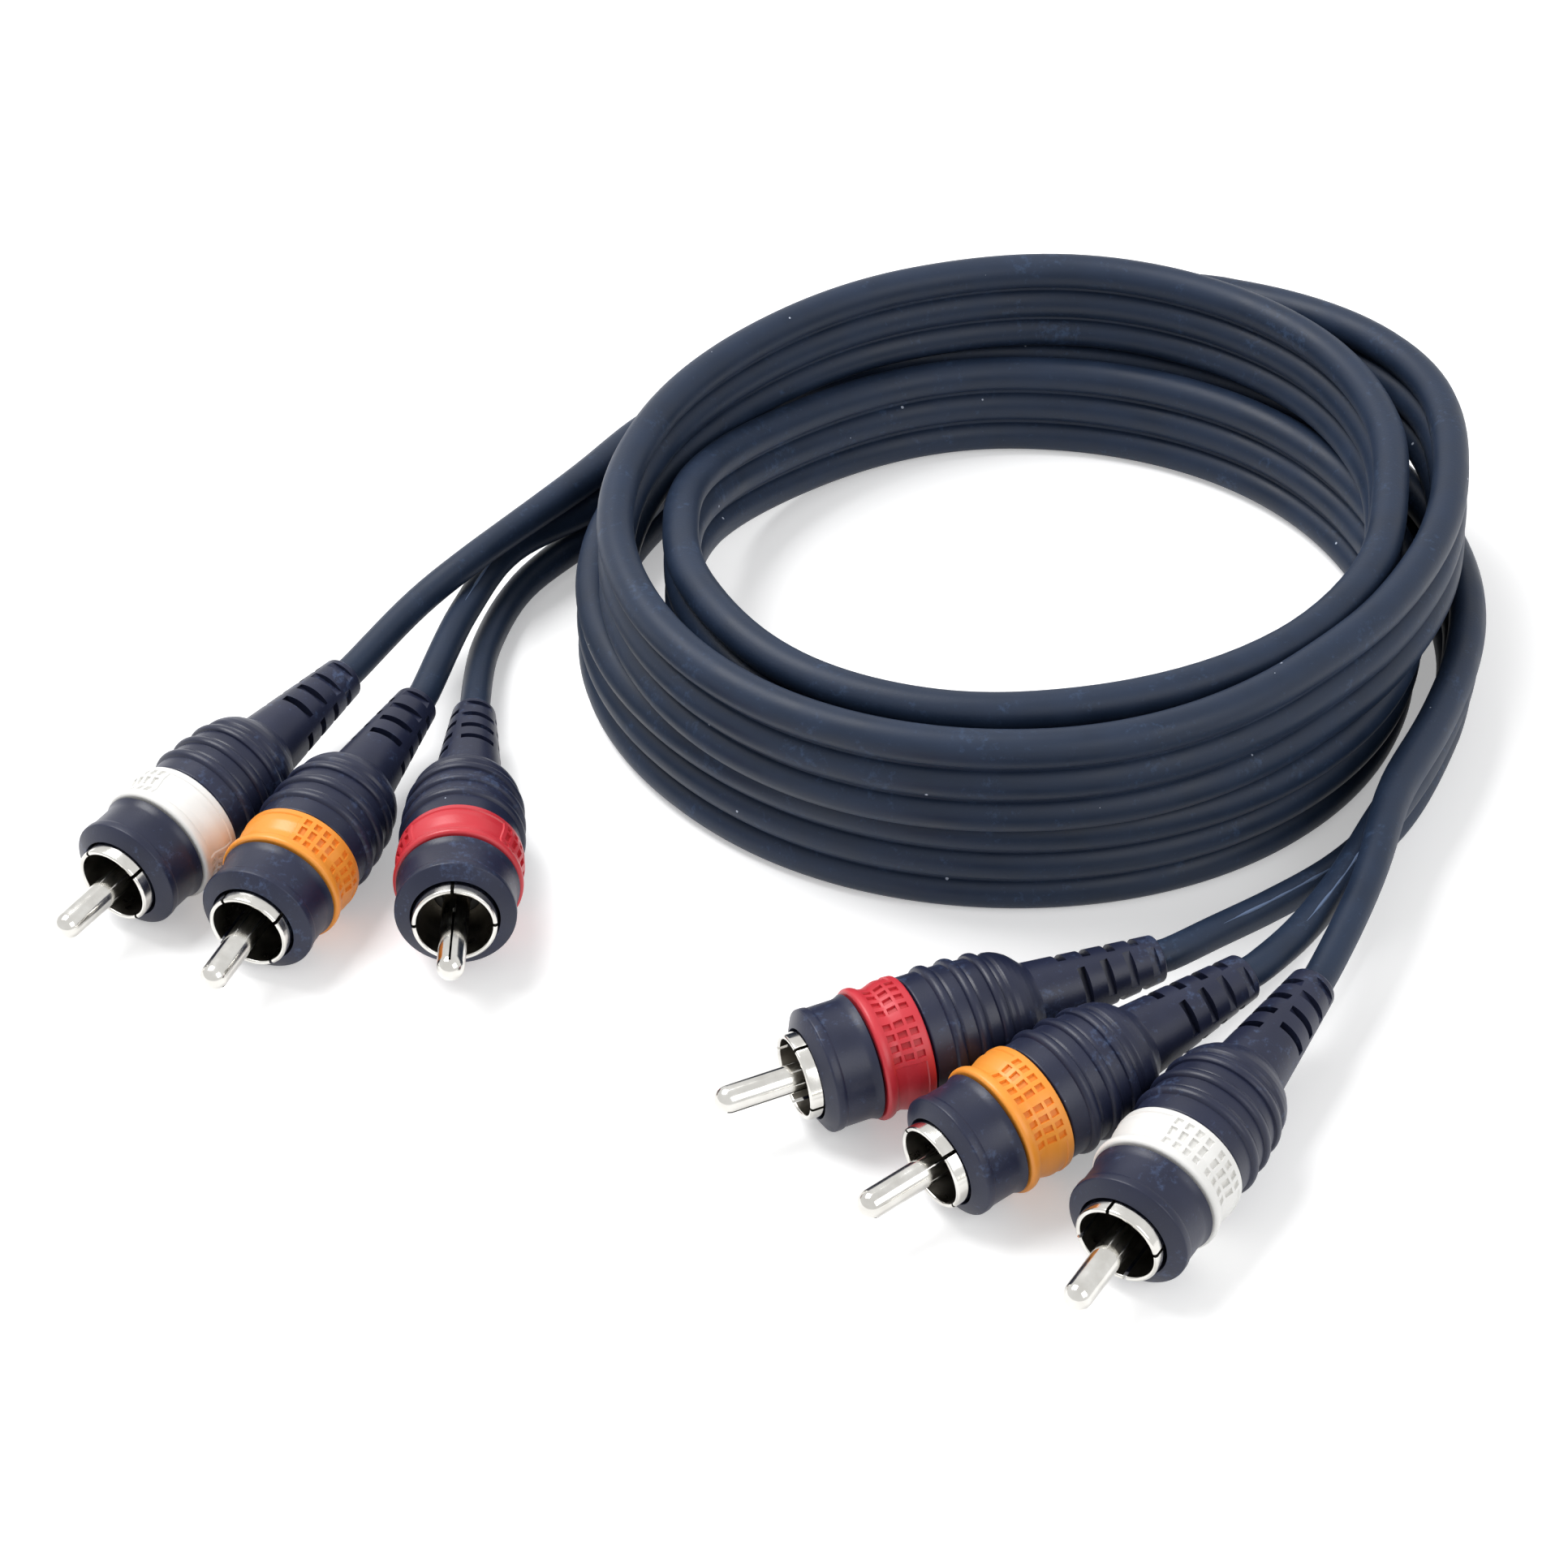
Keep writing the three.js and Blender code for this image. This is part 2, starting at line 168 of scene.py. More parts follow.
def between_rows(angle, column):
    """A column of TURNS at any angle, on a smooth curve through its rows."""
    last = len(TURNS) - 1
    i = 0
    while i < last - 1 and angle > TURNS[i + 1][0]:
        i += 1

    def slope(k):
        low, high = TURNS[max(k - 1, 0)], TURNS[min(k + 1, last)]
        return (high[column] - low[column]) / (high[0] - low[0])

    run = TURNS[i + 1][0] - TURNS[i][0]
    t = (angle - TURNS[i][0]) / run
    start, end = TURNS[i][column], TURNS[i + 1][column]
    rise = (2 * t**3 - 3 * t**2 + 1) * start + (3 * t**2 - 2 * t**3) * end
    return rise + ((t**3 - 2 * t**2 + t) * slope(i) + (t**3 - t**2) * slope(i + 1)) * run


def wound_point(level, angle):
    """A point of the strand at that level, 2 being the top one, in millimetres."""
    radius = between_rows(angle, 1) - between_rows(angle, 3) * (2 - level)
    height = between_rows(angle, 2) + 2 * STRAND_RADIUS * level
    turn = math.radians(angle)
    return Vector((
        COIL_CENTRE[0] + radius * math.cos(turn),
        COIL_CENTRE[1] + radius * math.sin(turn),
        height,
    ))


wound = {}
for level, strand in enumerate(reversed(STRANDS)):
    angles = range(TURNS[0][0], TURNS[-1][0] + 1, TURN_STEP)
    wound[strand] = [wound_point(level, angle) for angle in angles]
print("points on each strand's turns:", len(wound["white"]))

# %% The stretches that aren't wound
LEFT_RIBBON = [
    (41.4, 123.3, 10),
    (21.4, 120.4, 5.6),
    (3.5, 110.3, 2.8),
    (-7.7, 99.4, 2.4),
    (-15.5, 87.9, 2.4),
]
LEFT_LEADS = {
    "white": [(-29.1, 70.2, 11.3), (-35.6, 62.5, 9.9)],
    "orange": [(-24.8, 78.5, 6.9), (-30, 64, 7.4)],
    "red": [(-23.5, 75.9, 2.6), (-27.3, 62.1, 3.2)],
}
RIGHT_LEADS = {
    "white": [(75.6, 4.1, 10.6), (78.5, 10.2, 11.3)],
    "orange": [(67.6, -0.9, 9.8), (71.8, 5.7, 8.7), (76.4, 13.6, 7.6)],
    "red": [(59.4, 1.9, 8.4), (65.5, 7.3, 7), (71.5, 13.3, 5.2), (75.4, 17.8, 3.6)],
}


def lead_start(plug_name):
    """The straight run of a strand out of its plug, from inside the strain relief."""
    stations = (RELIEF_STATION + FIT, RELIEF_END, RELIEF_END + LEAD_STRAIGHT)
    matrix = plugs[plug_name]["matrix"]
    return [matrix @ Vector((-station * MM, 0, 0)) / MM for station in stations]


def strand_points(strand):
    """All chosen points of a strand, from its right plug to its left one."""
    level = len(STRANDS) - 1 - STRANDS.index(strand)
    lift = Vector((0, 0, 2 * STRAND_RADIUS * level))
    points = lead_start("right_" + strand)
    points += [Vector(p) for p in RIGHT_LEADS[strand]]
    points += wound[strand]
    points += [Vector(p) + lift for p in LEFT_RIBBON]
    points += [Vector(p) for p in LEFT_LEADS[strand]]
    points += reversed(lead_start("left_" + strand))
    return points


# %% [markdown]
# A curve through chosen points can be a Bezier with handles set by hand, or one that finds its own way.
# The centripetal Catmull-Rom curve passes through every point and never loops between two close ones, so
# it suits a list where dense turns follow long free stretches. The points are then resampled closely.
# Where the leads join the ribbon the points turn a little sharply, so that stretch is rounded off after.

# %% A smooth curve through the points
ROUTE_STEP = 2.0


def curve_point(p0, p1, p2, p3, share):
    """A point between p1 and p2 of a centripetal Catmull-Rom curve."""
    t1 = (p1 - p0).length ** 0.5
    t2 = t1 + (p2 - p1).length ** 0.5
    t3 = t2 + (p3 - p2).length ** 0.5
    t = t1 + share * (t2 - t1)
    a1 = p0.lerp(p1, t / t1)
    a2 = p1.lerp(p2, (t - t1) / (t2 - t1))
    a3 = p2.lerp(p3, (t - t2) / (t3 - t2))
    b1 = a1.lerp(a2, t / t2)
    b2 = a2.lerp(a3, (t - t1) / (t3 - t1))
    return b1.lerp(b2, (t - t1) / (t2 - t1))


def smooth_route(points):
    """Points about ROUTE_STEP millimetres apart on the curve through all the points."""
    before = 2 * points[0] - points[1]
    after = 2 * points[-1] - points[-2]
    padded = [before, *points, after]
    route = [points[0]]
    for p0, p1, p2, p3 in zip(padded, padded[1:], padded[2:], padded[3:]):
        count = max(1, round((p2 - p1).length / ROUTE_STEP))
        route += [curve_point(p0, p1, p2, p3, (i + 1) / count) for i in range(count)]
    return route


# %% The strands' routes
RIGHT_SPLIT = Vector((82.0, 24.3))
EASED_REACH = 11
EASING_PASSES = 16


def nearest(route, plan):
    """Index of the route's point that lies nearest to a place in plan."""
    return min(range(len(route)), key=lambda i: (route[i].to_2d() - plan).length)


def eased(route, middle):
    """The route with the bend about that index rounded off: each point moves towards its neighbours."""
    route = list(route)
    for _ in range(EASING_PASSES):
        before = list(route)
        for i in range(middle - EASED_REACH, middle + EASED_REACH + 1):
            route[i] = (before[i - 1] + 2 * before[i] + before[i + 1]) / 4
    return route


routes = {}
for strand in STRANDS:
    route = smooth_route(strand_points(strand))
    routes[strand] = eased(route, nearest(route, RIGHT_SPLIT))

# %% [markdown]
# ## The strands
# A strand is a curve with a round bevel, which is the quickest true tube. Torn off the ribbon, a strand
# loses the shoulders of its web, so it is a little thinner towards its plugs: the radius of each point
# of the curve takes that up over the last stretch of the ribbon.

# %% The three strands
LEAD_RADIUS = 1.9
TAPER_LENGTH = 26
TAPER_AT_SPLIT = 0.25
BEVEL_STEPS = 6
LEFT_SPLIT = Vector((-15.5, 87.9))


def ease(value):
    """0 below 0, 1 above 1, and a smooth rise between."""
    t = min(max(value, 0), 1)
    return t * t * (3 - 2 * t)


def tube(name, route, radii):
    """A curve object through the route with that radius at each point, all in millimetres."""
    data = bpy.data.curves.new(name, "CURVE")
    data.dimensions = "3D"
    data.bevel_depth = 1
    data.bevel_resolution = BEVEL_STEPS
    data.use_fill_caps = True
    spline = data.splines.new("POLY")
    spline.points.add(len(route) - 1)
    for point, place, radius in zip(spline.points, route, radii):
        point.co = (*(place * MM), 1)
        point.radius = radius * MM
    spline.use_smooth = True
    piece = bpy.data.objects.new(name, data)
    bpy.context.scene.collection.objects.link(piece)
    return piece


def strand_radii(route):
    """Ribbon radius on the turns, thinning to the lead's radius past either split."""
    first = nearest(route, RIGHT_SPLIT)
    later_half = range(len(route) // 2, len(route))
    last = min(later_half, key=lambda i: (route[i].to_2d() - LEFT_SPLIT).length)
    radii = []
    for i in range(len(route)):
        past = max(first - i, i - last) * ROUTE_STEP
        share = ease(past / TAPER_LENGTH + TAPER_AT_SPLIT)
        radii.append(STRAND_RADIUS + (LEAD_RADIUS - STRAND_RADIUS) * share)
    return radii


strands = {}
for strand, route in routes.items():
    strands[strand] = tube(strand + "_strand", route, strand_radii(route))

# %% [markdown]
# ## The web
# Where the strands are joined, a narrow web of the same plastic fills the bottom of the crease between
# two neighbours. It could be part of each strand's outline, but a thin tube that follows the middle of
# the two does the same with far less work, and its ends can taper away where the strands part.

# %% The web between the strands
WEB_RADIUS = 1.0
WEB_FADE = 8
WEB_END = 0.3


def web_route(upper, lower):
    """The middle line of two neighbouring strands, from split to split."""
    ribbon = [Vector(p) for p in LEFT_RIBBON]
    level = len(STRANDS) - 1 - STRANDS.index(lower)
    lift = Vector((0, 0, 2 * STRAND_RADIUS * level + STRAND_RADIUS))
    middles = [(a + b) / 2 for a, b in zip(wound[upper], wound[lower])]
    return smooth_route(middles + [p + lift for p in ribbon])


webs = []
for upper, lower in zip(STRANDS, STRANDS[1:]):
    route = web_route(upper, lower)
    ends = [min(i, len(route) - 1 - i) for i in range(len(route))]
    radii = [WEB_RADIUS * (WEB_END + (1 - WEB_END) * ease(end / WEB_FADE)) for end in ends]
    webs.append(tube(f"{upper}_{lower}_web", route, radii))
print("web tubes:", [web.name for web in webs])

# %% [markdown]
# Where a strand was torn off the ribbon by hand, a ragged edge of the web stays on it as a pale line: the
# torn plastic is paler, and its colour also carries painted highlight. It is a thin tube as well, half sunk
# in the strand, whose thickness wanders. Three leads show one.

# %% The torn edges on the leads
TEAR_RADIUS = 0.2
TEAR_SUNK = 0.97
TEAR_WAVES = ((2.3, 0.25), (5.1, 0.2))
TEAR_SIDE = Vector((0, -0.5, 0.86))
TEAR_SPANS = {"left_orange": (8, 30), "right_red": (3, 26), "right_orange": (4, 24)}


def tear(plug_name, first, last):
    """A ragged line along the upper front of a lead, between two points counted from its plug."""
    side, strand = plug_name.split("_")
    points = routes[strand] if side == "right" else list(reversed(routes[strand]))
    relief_length = RELIEF_END - RELIEF_STATION
    start = min(i for i, p in enumerate(points) if (p - points[0]).length > relief_length)
    run = points[start + first:start + last]
    places, radii = [], []
    for i in range(1, len(run) - 1):
        along = (run[i + 1] - run[i - 1]).normalized()
        outward = (TEAR_SIDE - along * TEAR_SIDE.dot(along)).normalized()
        places.append(run[i] + outward * LEAD_RADIUS * TEAR_SUNK)
        wander = sum(share * math.sin(pace * i) for pace, share in TEAR_WAVES)
        radii.append(TEAR_RADIUS * (0.75 + wander))
    radii[0] = radii[-1] = TEAR_RADIUS / 5
    return tube(f"{plug_name}_torn_edge", places, radii)


tears = {}
for plug_name, span in TEAR_SPANS.items():
    tears.setdefault(plug_name.split("_")[1], []).append(tear(plug_name, *span))
print("torn edges on:", sorted(TEAR_SPANS))

# %% [markdown]
# ## Working by hand, in code
# Every edit-mode operator acts on what is selected, so a script needs three small habits: let go of
# everything, take up one piece, and pick faces by where they are. The helpers below do that.

# %% Taking a piece up and letting it go
def let_go():
    """Leaves edit mode and deselects everything."""
    if bpy.context.mode != "OBJECT":
        bpy.ops.object.mode_set(mode="OBJECT")
    bpy.ops.object.select_all(action="DESELECT")


def take_up(piece):
    """Makes one piece the selected and active one."""
    let_go()
    piece.select_set(True)
    bpy.context.view_layer.objects.active = piece


def apply_place(piece):
    """Moves the object's place, turn and scale into its mesh."""
    take_up(piece)
    bpy.ops.object.transform_apply(location=True, rotation=True, scale=True)


# %% Outlines, and pieces spun from them
def arc(station, radius, size, start, end, count=6):
    """Outline points on a circle about (station, radius), with angles in degrees from the back."""
    points = []
    for i in range(count + 1):
        angle = math.radians(start + (end - start) * i / count)
        points.append((station + size * math.cos(angle), radius + size * math.sin(angle)))
    return points


def spun(name, outline, steps):
    """Draws an outline of (station, radius) points vertex by vertex and spins it about the axis."""
    let_go()
    start = Vector((-outline[0][0], 0, outline[0][1])) * MM
    bpy.ops.mesh.primitive_plane_add(size=MM, location=start)
    piece = bpy.context.object
    piece.name = name
    piece.data.name = name
    bpy.ops.object.mode_set(mode="EDIT")
    bpy.ops.mesh.select_mode(type="VERT")
    bpy.ops.mesh.select_all(action="SELECT")
    bpy.ops.mesh.merge(type="CENTER")
    for (station, radius), (next_station, next_radius) in zip(outline, outline[1:]):
        step = Vector((station - next_station, 0, next_radius - radius)) * MM
        bpy.ops.mesh.extrude_vertices_move(TRANSFORM_OT_translate={"value": step})
    apply_place(piece)
    bpy.ops.object.mode_set(mode="EDIT")
    bpy.ops.mesh.select_all(action="SELECT")
    bpy.ops.mesh.spin(steps=steps, angle=2 * math.pi, center=(0, 0, 0), axis=(1, 0, 0))
    bpy.ops.mesh.select_all(action="SELECT")
    bpy.ops.mesh.remove_doubles(threshold=MM / 1000)
    bpy.ops.mesh.normals_make_consistent(inside=False)
    let_go()
    return piece


# %% Cutting, joining and shading
def cut_away(piece, cutter):
    """Takes the cutter out of a piece with an applied Boolean, and removes the cutter."""
    take_up(piece)
    modifier = piece.modifiers.new("cut", "BOOLEAN")
    modifier.operation = "DIFFERENCE"
    modifier.solver = "EXACT"
    modifier.object = cutter
    bpy.ops.object.modifier_apply(modifier=modifier.name)
    bpy.data.objects.remove(cutter)


def cutting_box(low, high, turn=0):
    """A box between two corners in millimetres, turned about the plug's axis by degrees."""
    let_go()
    middle = (Vector(low) + Vector(high)) / 2 * MM
    size = (Vector(high) - Vector(low)) * MM
    bpy.ops.mesh.primitive_cube_add(size=1, location=middle)
    box = bpy.context.object
    box.scale = size
    apply_place(box)
    bpy.ops.object.mode_set(mode="EDIT")
    bpy.ops.transform.rotate(value=-math.radians(turn), orient_axis="X", center_override=(0, 0, 0))
    let_go()
    return box


def joined(pieces):
    """One object from several."""
    let_go()
    for piece in pieces:
        piece.select_set(True)
    bpy.context.view_layer.objects.active = pieces[0]
    bpy.ops.object.join()
    return pieces[0]


def smooth_shaded(piece, degrees=35):
    """Smooth faces, with edges sharper than the angle kept crisp."""
    take_up(piece)
    bpy.ops.object.shade_smooth_by_angle(angle=math.radians(degrees))
    let_go()


# %% [markdown]
# ## The moulded boot
# The boot is one shot of soft plastic round the shell and the cable: a rounded nose, a waist, the seat of
# the colour ring, a grip with three raised beads, a dome, and a tapered strain relief that is slotted on
# four sides, every second side half a step further back. All but the slots is round, so an outline is
# spun: it could be a stack of cones and tori, but one outline keeps every step and groove joined.

# %% Sizes of the boot
SLEEVE_BORE = 5.15
BARREL_BORE = 4.1
BARREL_BORE_BACK = 3.1
CRIMP_BORE = 1.7
LEAD_BORE = 2.1
LEAD_CHAMFER = 0.2
SHELL_BACK = 9.1
BARREL_BACK = 14.1
CRIMP_BACK = 18.1
NOSE_FRONT = 1.5
NOSE_EDGE = (2.6, 6.7)
NOSE_EDGE_ROUND = 0.27
NOSE_CHAMFER = (0.05, 0.2)
NOSE_BACK = 3.45
CREASE = ((0.2, 0), (0.08, 0.02), (-0.05, 0.12), (-0.3, 0.17))
WAIST_RADIUS = 6.8
WAIST_EDGE = 0.06
FLARE = 0.3
FLARE_LENGTH = 1.1
FLARE_STEPS = 8
SEAT_RADIUS = 6.0
BEADS = ((16.45, 17.75), (19.4, 20.7), (22.3, 23.6))
BEAD_HEIGHT = 0.5
BEAD_GROOVE = 0.14
BEAD_GROOVE_LENGTH = 0.35
GRIP_STEP = 0.1
GRIP_EDGE_ROUND = 0.2
GRIP_CURVE = [
    (14.1, 6.95), (16.45, 6.95), (19.4, 6.88), (22.3, 6.66), (23.7, 6.5), (24.3, 6.4), (24.65, 6.6),
    (25.3, 6.5), (26.0, 6.22), (26.7, 5.8), (27.3, 5.25), (27.8, 4.72), (28.15, 4.4), (28.4, 4.25),
]
RELIEF_FRONT = 4.25
RELIEF_REAR = 2.75
RELIEF_FOOT = (0.4, 0.02)
RELIEF_EDGE_ROUND = 0.35
print("moulding behind the ring in mm:", round(RELIEF_END - GRIP_CURVE[0][0], 1))


# %% The grip's form
def grip_radius(station):
    """Radius of the grip and its dome without the beads."""
    for (s0, r0), (s1, r1) in zip(GRIP_CURVE, GRIP_CURVE[1:]):
        if station <= s1:
            return r0 + (r1 - r0) * (station - s0) / (s1 - s0)
    return GRIP_CURVE[-1][1]


def bead(station):
    """How far a bead stands out at a station, as half an ellipse, or how deep the groove behind it is."""
    for front, back in BEADS:
        away = (2 * station - front - back) / (back - front)
        if abs(away) < 1:
            return BEAD_HEIGHT * math.sqrt(1 - away * away)
        if back <= station < back + BEAD_GROOVE_LENGTH:
            return -BEAD_GROOVE * (1 - (station - back) / BEAD_GROOVE_LENGTH)
    return 0


# %% The boot's outline
def boot_outline():
    """Closed outline of the boot: back along its bore, then forward over its outside."""
    outline = [
        (NOSE_FRONT, SLEEVE_BORE),
        (SHELL_BACK, SLEEVE_BORE),
        (SHELL_BACK, BARREL_BORE),
        (BARREL_BACK, BARREL_BORE),
        (CRIMP_BACK, BARREL_BORE_BACK),
        (CRIMP_BACK, CRIMP_BORE),
        (RELIEF_STATION, CRIMP_BORE),
        (RELIEF_STATION, LEAD_BORE),
        (RELIEF_END - LEAD_CHAMFER, LEAD_BORE),
    ]
    edge = RELIEF_EDGE_ROUND
    outline += arc(RELIEF_END - edge, RELIEF_REAR - edge, edge, 0, 90)
    outline.append((RELIEF_STATION + RELIEF_FOOT[0], RELIEF_FRONT - RELIEF_FOOT[1]))
    grip_start, grip_end = GRIP_CURVE[0][0], GRIP_CURVE[-1][0]
    count = round((grip_end - grip_start) / GRIP_STEP)
    for i in range(count, 1, -1):
        station = grip_start + (grip_end - grip_start) * i / count
        outline.append((station, grip_radius(station) + bead(station)))
    edge = GRIP_EDGE_ROUND
    outline += arc(grip_start + edge, GRIP_CURVE[0][1] - edge, edge, 90, 180, 4)
    outline.append((grip_start, SEAT_RADIUS))
    waist_back = RING_STATION - FIT
    outline.append((waist_back, SEAT_RADIUS))
    outline.append((waist_back, WAIST_RADIUS + FLARE - WAIST_EDGE))
    for i in range(FLARE_STEPS + 1):
        share = i / FLARE_STEPS
        radius = WAIST_RADIUS + FLARE * (1 - share) ** 2
        outline.append((waist_back - WAIST_EDGE - FLARE_LENGTH * share, radius))
    outline += [(NOSE_BACK + behind, WAIST_RADIUS + rise) for behind, rise in CREASE]
    outline += arc(*NOSE_EDGE, NOSE_EDGE_ROUND, 90, 155, 6)
    outline += [(NOSE_FRONT + NOSE_CHAMFER[0], SLEEVE_BORE + NOSE_CHAMFER[1]), outline[0]]
    return outline


boot = spun("boot", boot_outline(), 112)
print("boot:", len(boot.data.vertices), "vertices before its slots are cut")

# %% The slots of the strain relief
SLOT_COUNT = 4
SLOT_MIDDLE = 32.6
SLOT_PITCH = 2.92
SLOT_LENGTH = 1.0
SLOT_WIDTH = 4.1
SLOT_FLOOR = 2.3

slots = []
for side in range(4):
    stagger = SLOT_PITCH / 2 if side % 2 else 0
    for slot in range(SLOT_COUNT):
        middle = SLOT_MIDDLE + stagger + slot * SLOT_PITCH
        slots.append(cutting_box(
            (-middle - SLOT_LENGTH / 2, -SLOT_WIDTH / 2, SLOT_FLOOR),
            (-middle + SLOT_LENGTH / 2, SLOT_WIDTH / 2, 2 * RELIEF_FRONT),
            90 * side,
        ))
cut_away(boot, joined(slots))
smooth_shaded(boot, 28)
print("boot:", len(boot.data.polygons), "faces with its slots")

# %% [markdown]
# ## The colour ring
# The ring is a snap-on collar. Its outline has a flared front lip, a hollow behind it and a broad band.
# Two runs of small square pits and two plain sunken panels lie round the band. A ring spun in steps of
# two degrees already has the faces for them, so they are picked by place, inset and pushed in. That
# keeps the ring one clean mesh, where cutting fifty boxes out of it would leave slivers.

# %% The ring's outline
RING_BORE = 6.3
RING_STEPS = 180
LIP_RADIUS = 7.5
LIP_ROUND = 0.42
LIP_BACK = 0.65
SADDLE_MIDDLE = 1.9
SADDLE_DEPTH = 0.48
BAND_FRONT = 3.9
BAND_FALL = 0.12
LIP_SLOPE = (0.85, 1.05)
RING_EDGE_ROUND = 0.3
PIT_COLUMNS = (1.75, 3.05, 4.4)
PIT_LENGTH = 1.0


def ring_radius(behind):
    """Radius of the ring's outside at a distance behind its front: a lip, a saddle and a band."""
    fall = ease((behind - LIP_BACK) / (SADDLE_MIDDLE - LIP_BACK))
    rise = ease((behind - SADDLE_MIDDLE) / (BAND_FRONT - SADDLE_MIDDLE))
    rear = max(behind - BAND_FRONT, 0) / (RING_LENGTH - BAND_FRONT)
    return LIP_RADIUS - SADDLE_DEPTH * (fall - rise) - BAND_FALL * rear


def ring_outline():
    """Closed outline of the ring, over its outside from the front lip to the back edge."""
    front, back = RING_STATION, RING_STATION + RING_LENGTH
    outline = [(front, RING_BORE)]
    outline += arc(front + LIP_ROUND, LIP_RADIUS - LIP_ROUND, LIP_ROUND, 180, 90, 6)
    stations = [LIP_BACK, *LIP_SLOPE]
    for column in PIT_COLUMNS:
        stations += [column - PIT_LENGTH / 2, column + PIT_LENGTH / 2]
    outline += [(front + station, ring_radius(station)) for station in stations]
    edge = RING_EDGE_ROUND
    outline += arc(back - edge, ring_radius(RING_LENGTH) - edge, edge, 90, 0, 5)
    outline += [(back, RING_BORE), outline[0]]
    return outline


ring = spun("ring", ring_outline(), RING_STEPS)
print("ring:", len(ring.data.polygons), "faces before its pits")

# %% Sizes of the pits and panels, with their turns in degrees
STEP_TURN = 360 / RING_STEPS
PIT_PITCH = 10
PIT_STEPS = 3
PIT_ROWS = 4
PIT_GAP = 4
PIT_DEPTH = 0.3
PIT_WALL = 0.06
PANEL_START = 84
PANEL_END = 176
PANEL_DEPTH = 0.16
PANEL_WALL = 0.12
print("a pit is", PIT_LENGTH, "mm long and turns", PIT_STEPS * STEP_TURN, "degrees")


# %% Picking the ring's faces by place
def select_faces(piece, wanted):
    """Enters edit mode with only the wanted faces selected; wanted takes a face's middle and normal."""
    take_up(piece)
    bpy.ops.object.mode_set(mode="EDIT")
    bpy.ops.mesh.select_mode(type="FACE")
    bpy.ops.mesh.select_all(action="DESELECT")
    bpy.ops.object.mode_set(mode="OBJECT")
    for face in piece.data.polygons:
        face.select = wanted(face.center / MM, face.normal)
    bpy.ops.object.mode_set(mode="EDIT")


def turn_about_axis(place):
    """Degrees of a place round the plug's axis, from 0 to 180 in each half."""
    return math.degrees(math.atan2(place.y, place.z)) % 180


def on_band(place, normal):
    """True outside the ring, on the stretch that the pits' columns cover."""
    outward = place.y * normal.y + place.z * normal.z > 0
    station = -place.x - RING_STATION
    first, last = PIT_COLUMNS[0] - PIT_LENGTH / 2, PIT_COLUMNS[-1] + PIT_LENGTH / 2
    return outward and first < station < last


def is_pit(place, normal):
    """True on a square pit of one of the two runs."""
    if not on_band(place, normal):
        return False
    station = -place.x - RING_STATION
    in_column = any(abs(station - column) < PIT_LENGTH / 2 for column in PIT_COLUMNS)
    turn = turn_about_axis(place)
    run = PIT_ROWS * PIT_PITCH + PIT_GAP
    if turn > run:
        turn -= run
    row_steps = turn / PIT_PITCH
    in_row = row_steps < PIT_ROWS and row_steps % 1 < PIT_STEPS * STEP_TURN / PIT_PITCH
    return in_column and in_row


def is_panel(place, normal):
    """True on one of the two plain panels between the runs of pits."""
    return on_band(place, normal) and PANEL_START < turn_about_axis(place) < PANEL_END


# %% Pushing the pits and panels in
select_faces(ring, is_pit)
bpy.ops.mesh.inset(thickness=PIT_WALL * MM, depth=-PIT_DEPTH * MM)
let_go()
# Pit floors take the ring's second material, a darker colour that paints shade in the pits.
for face in ring.data.polygons:
    face.material_index = 1 if face.select else 0
select_faces(ring, is_panel)
bpy.ops.mesh.inset(thickness=PANEL_WALL * MM, depth=-PANEL_DEPTH * MM)
let_go()
smooth_shaded(ring, 40)
print("ring:", len(ring.data.polygons), "faces")

# %% [markdown]
# ## The shell and the pin
# The shell is pressed from sheet: a sleeve with four petals that spring over a jack's collar, a floor, a
# barrel for the insulator and a crimp for the screen. The pin is rolled from sheet as well, so it is
# hollow, with a slit along it that runs out in its round tip. Both are spun, and narrow boxes cut them.

# %% The ground shell
MOUTH_RADIUS = 4.3
SLEEVE_RADIUS = 4.85
SLEEVE_DEPTH = 8.2
PETAL_SLOT = 0.42
PETAL_DEPTH = 5.6
SHEET = 0.6
SHOULDER = 0.3
BARREL_RADIUS = 3.8
BARREL_END = 13.5
CRIMP_RADIUS = 2.1
CRIMP_END = 17.8


def shell_outline():
    """Closed outline of the shell: round the rim, back over its outside, and forward inside."""
    rim = (SLEEVE_RADIUS - MOUTH_RADIUS) / 2
    outline = arc(rim, MOUTH_RADIUS + rim, rim, 270, 90, 8)
    outline += [
        (SLEEVE_DEPTH + SHEET - SHOULDER, SLEEVE_RADIUS),
        (SLEEVE_DEPTH + SHEET, SLEEVE_RADIUS - SHOULDER),
        (SLEEVE_DEPTH + SHEET, BARREL_RADIUS),
        (BARREL_END, BARREL_RADIUS),
        (BARREL_END, CRIMP_RADIUS),
        (CRIMP_END, CRIMP_RADIUS),
        (CRIMP_END, CRIMP_RADIUS - SHEET),
        (BARREL_END - SHEET, CRIMP_RADIUS - SHEET),
        (BARREL_END - SHEET, BARREL_RADIUS - SHEET),
        (SLEEVE_DEPTH, BARREL_RADIUS - SHEET),
        (SLEEVE_DEPTH, MOUTH_RADIUS),
    ]
    outline.append(outline[0])
    return outline


shell = spun("shell", shell_outline(), 96)
petal_slots = []
for turn in (0, 90):
    petal_slots.append(cutting_box(
        (-PETAL_DEPTH, -PETAL_SLOT / 2, -2 * SLEEVE_RADIUS),
        (PETAL_DEPTH, PETAL_SLOT / 2, 2 * SLEEVE_RADIUS),
        turn,
    ))
for slot in petal_slots:
    cut_away(shell, slot)


# %% The painted shade inside the sleeve
RIM_LENGTH = 0.5
NEARLY_FLAT = 0.9
CLEAR_OF_WALL = 0.05


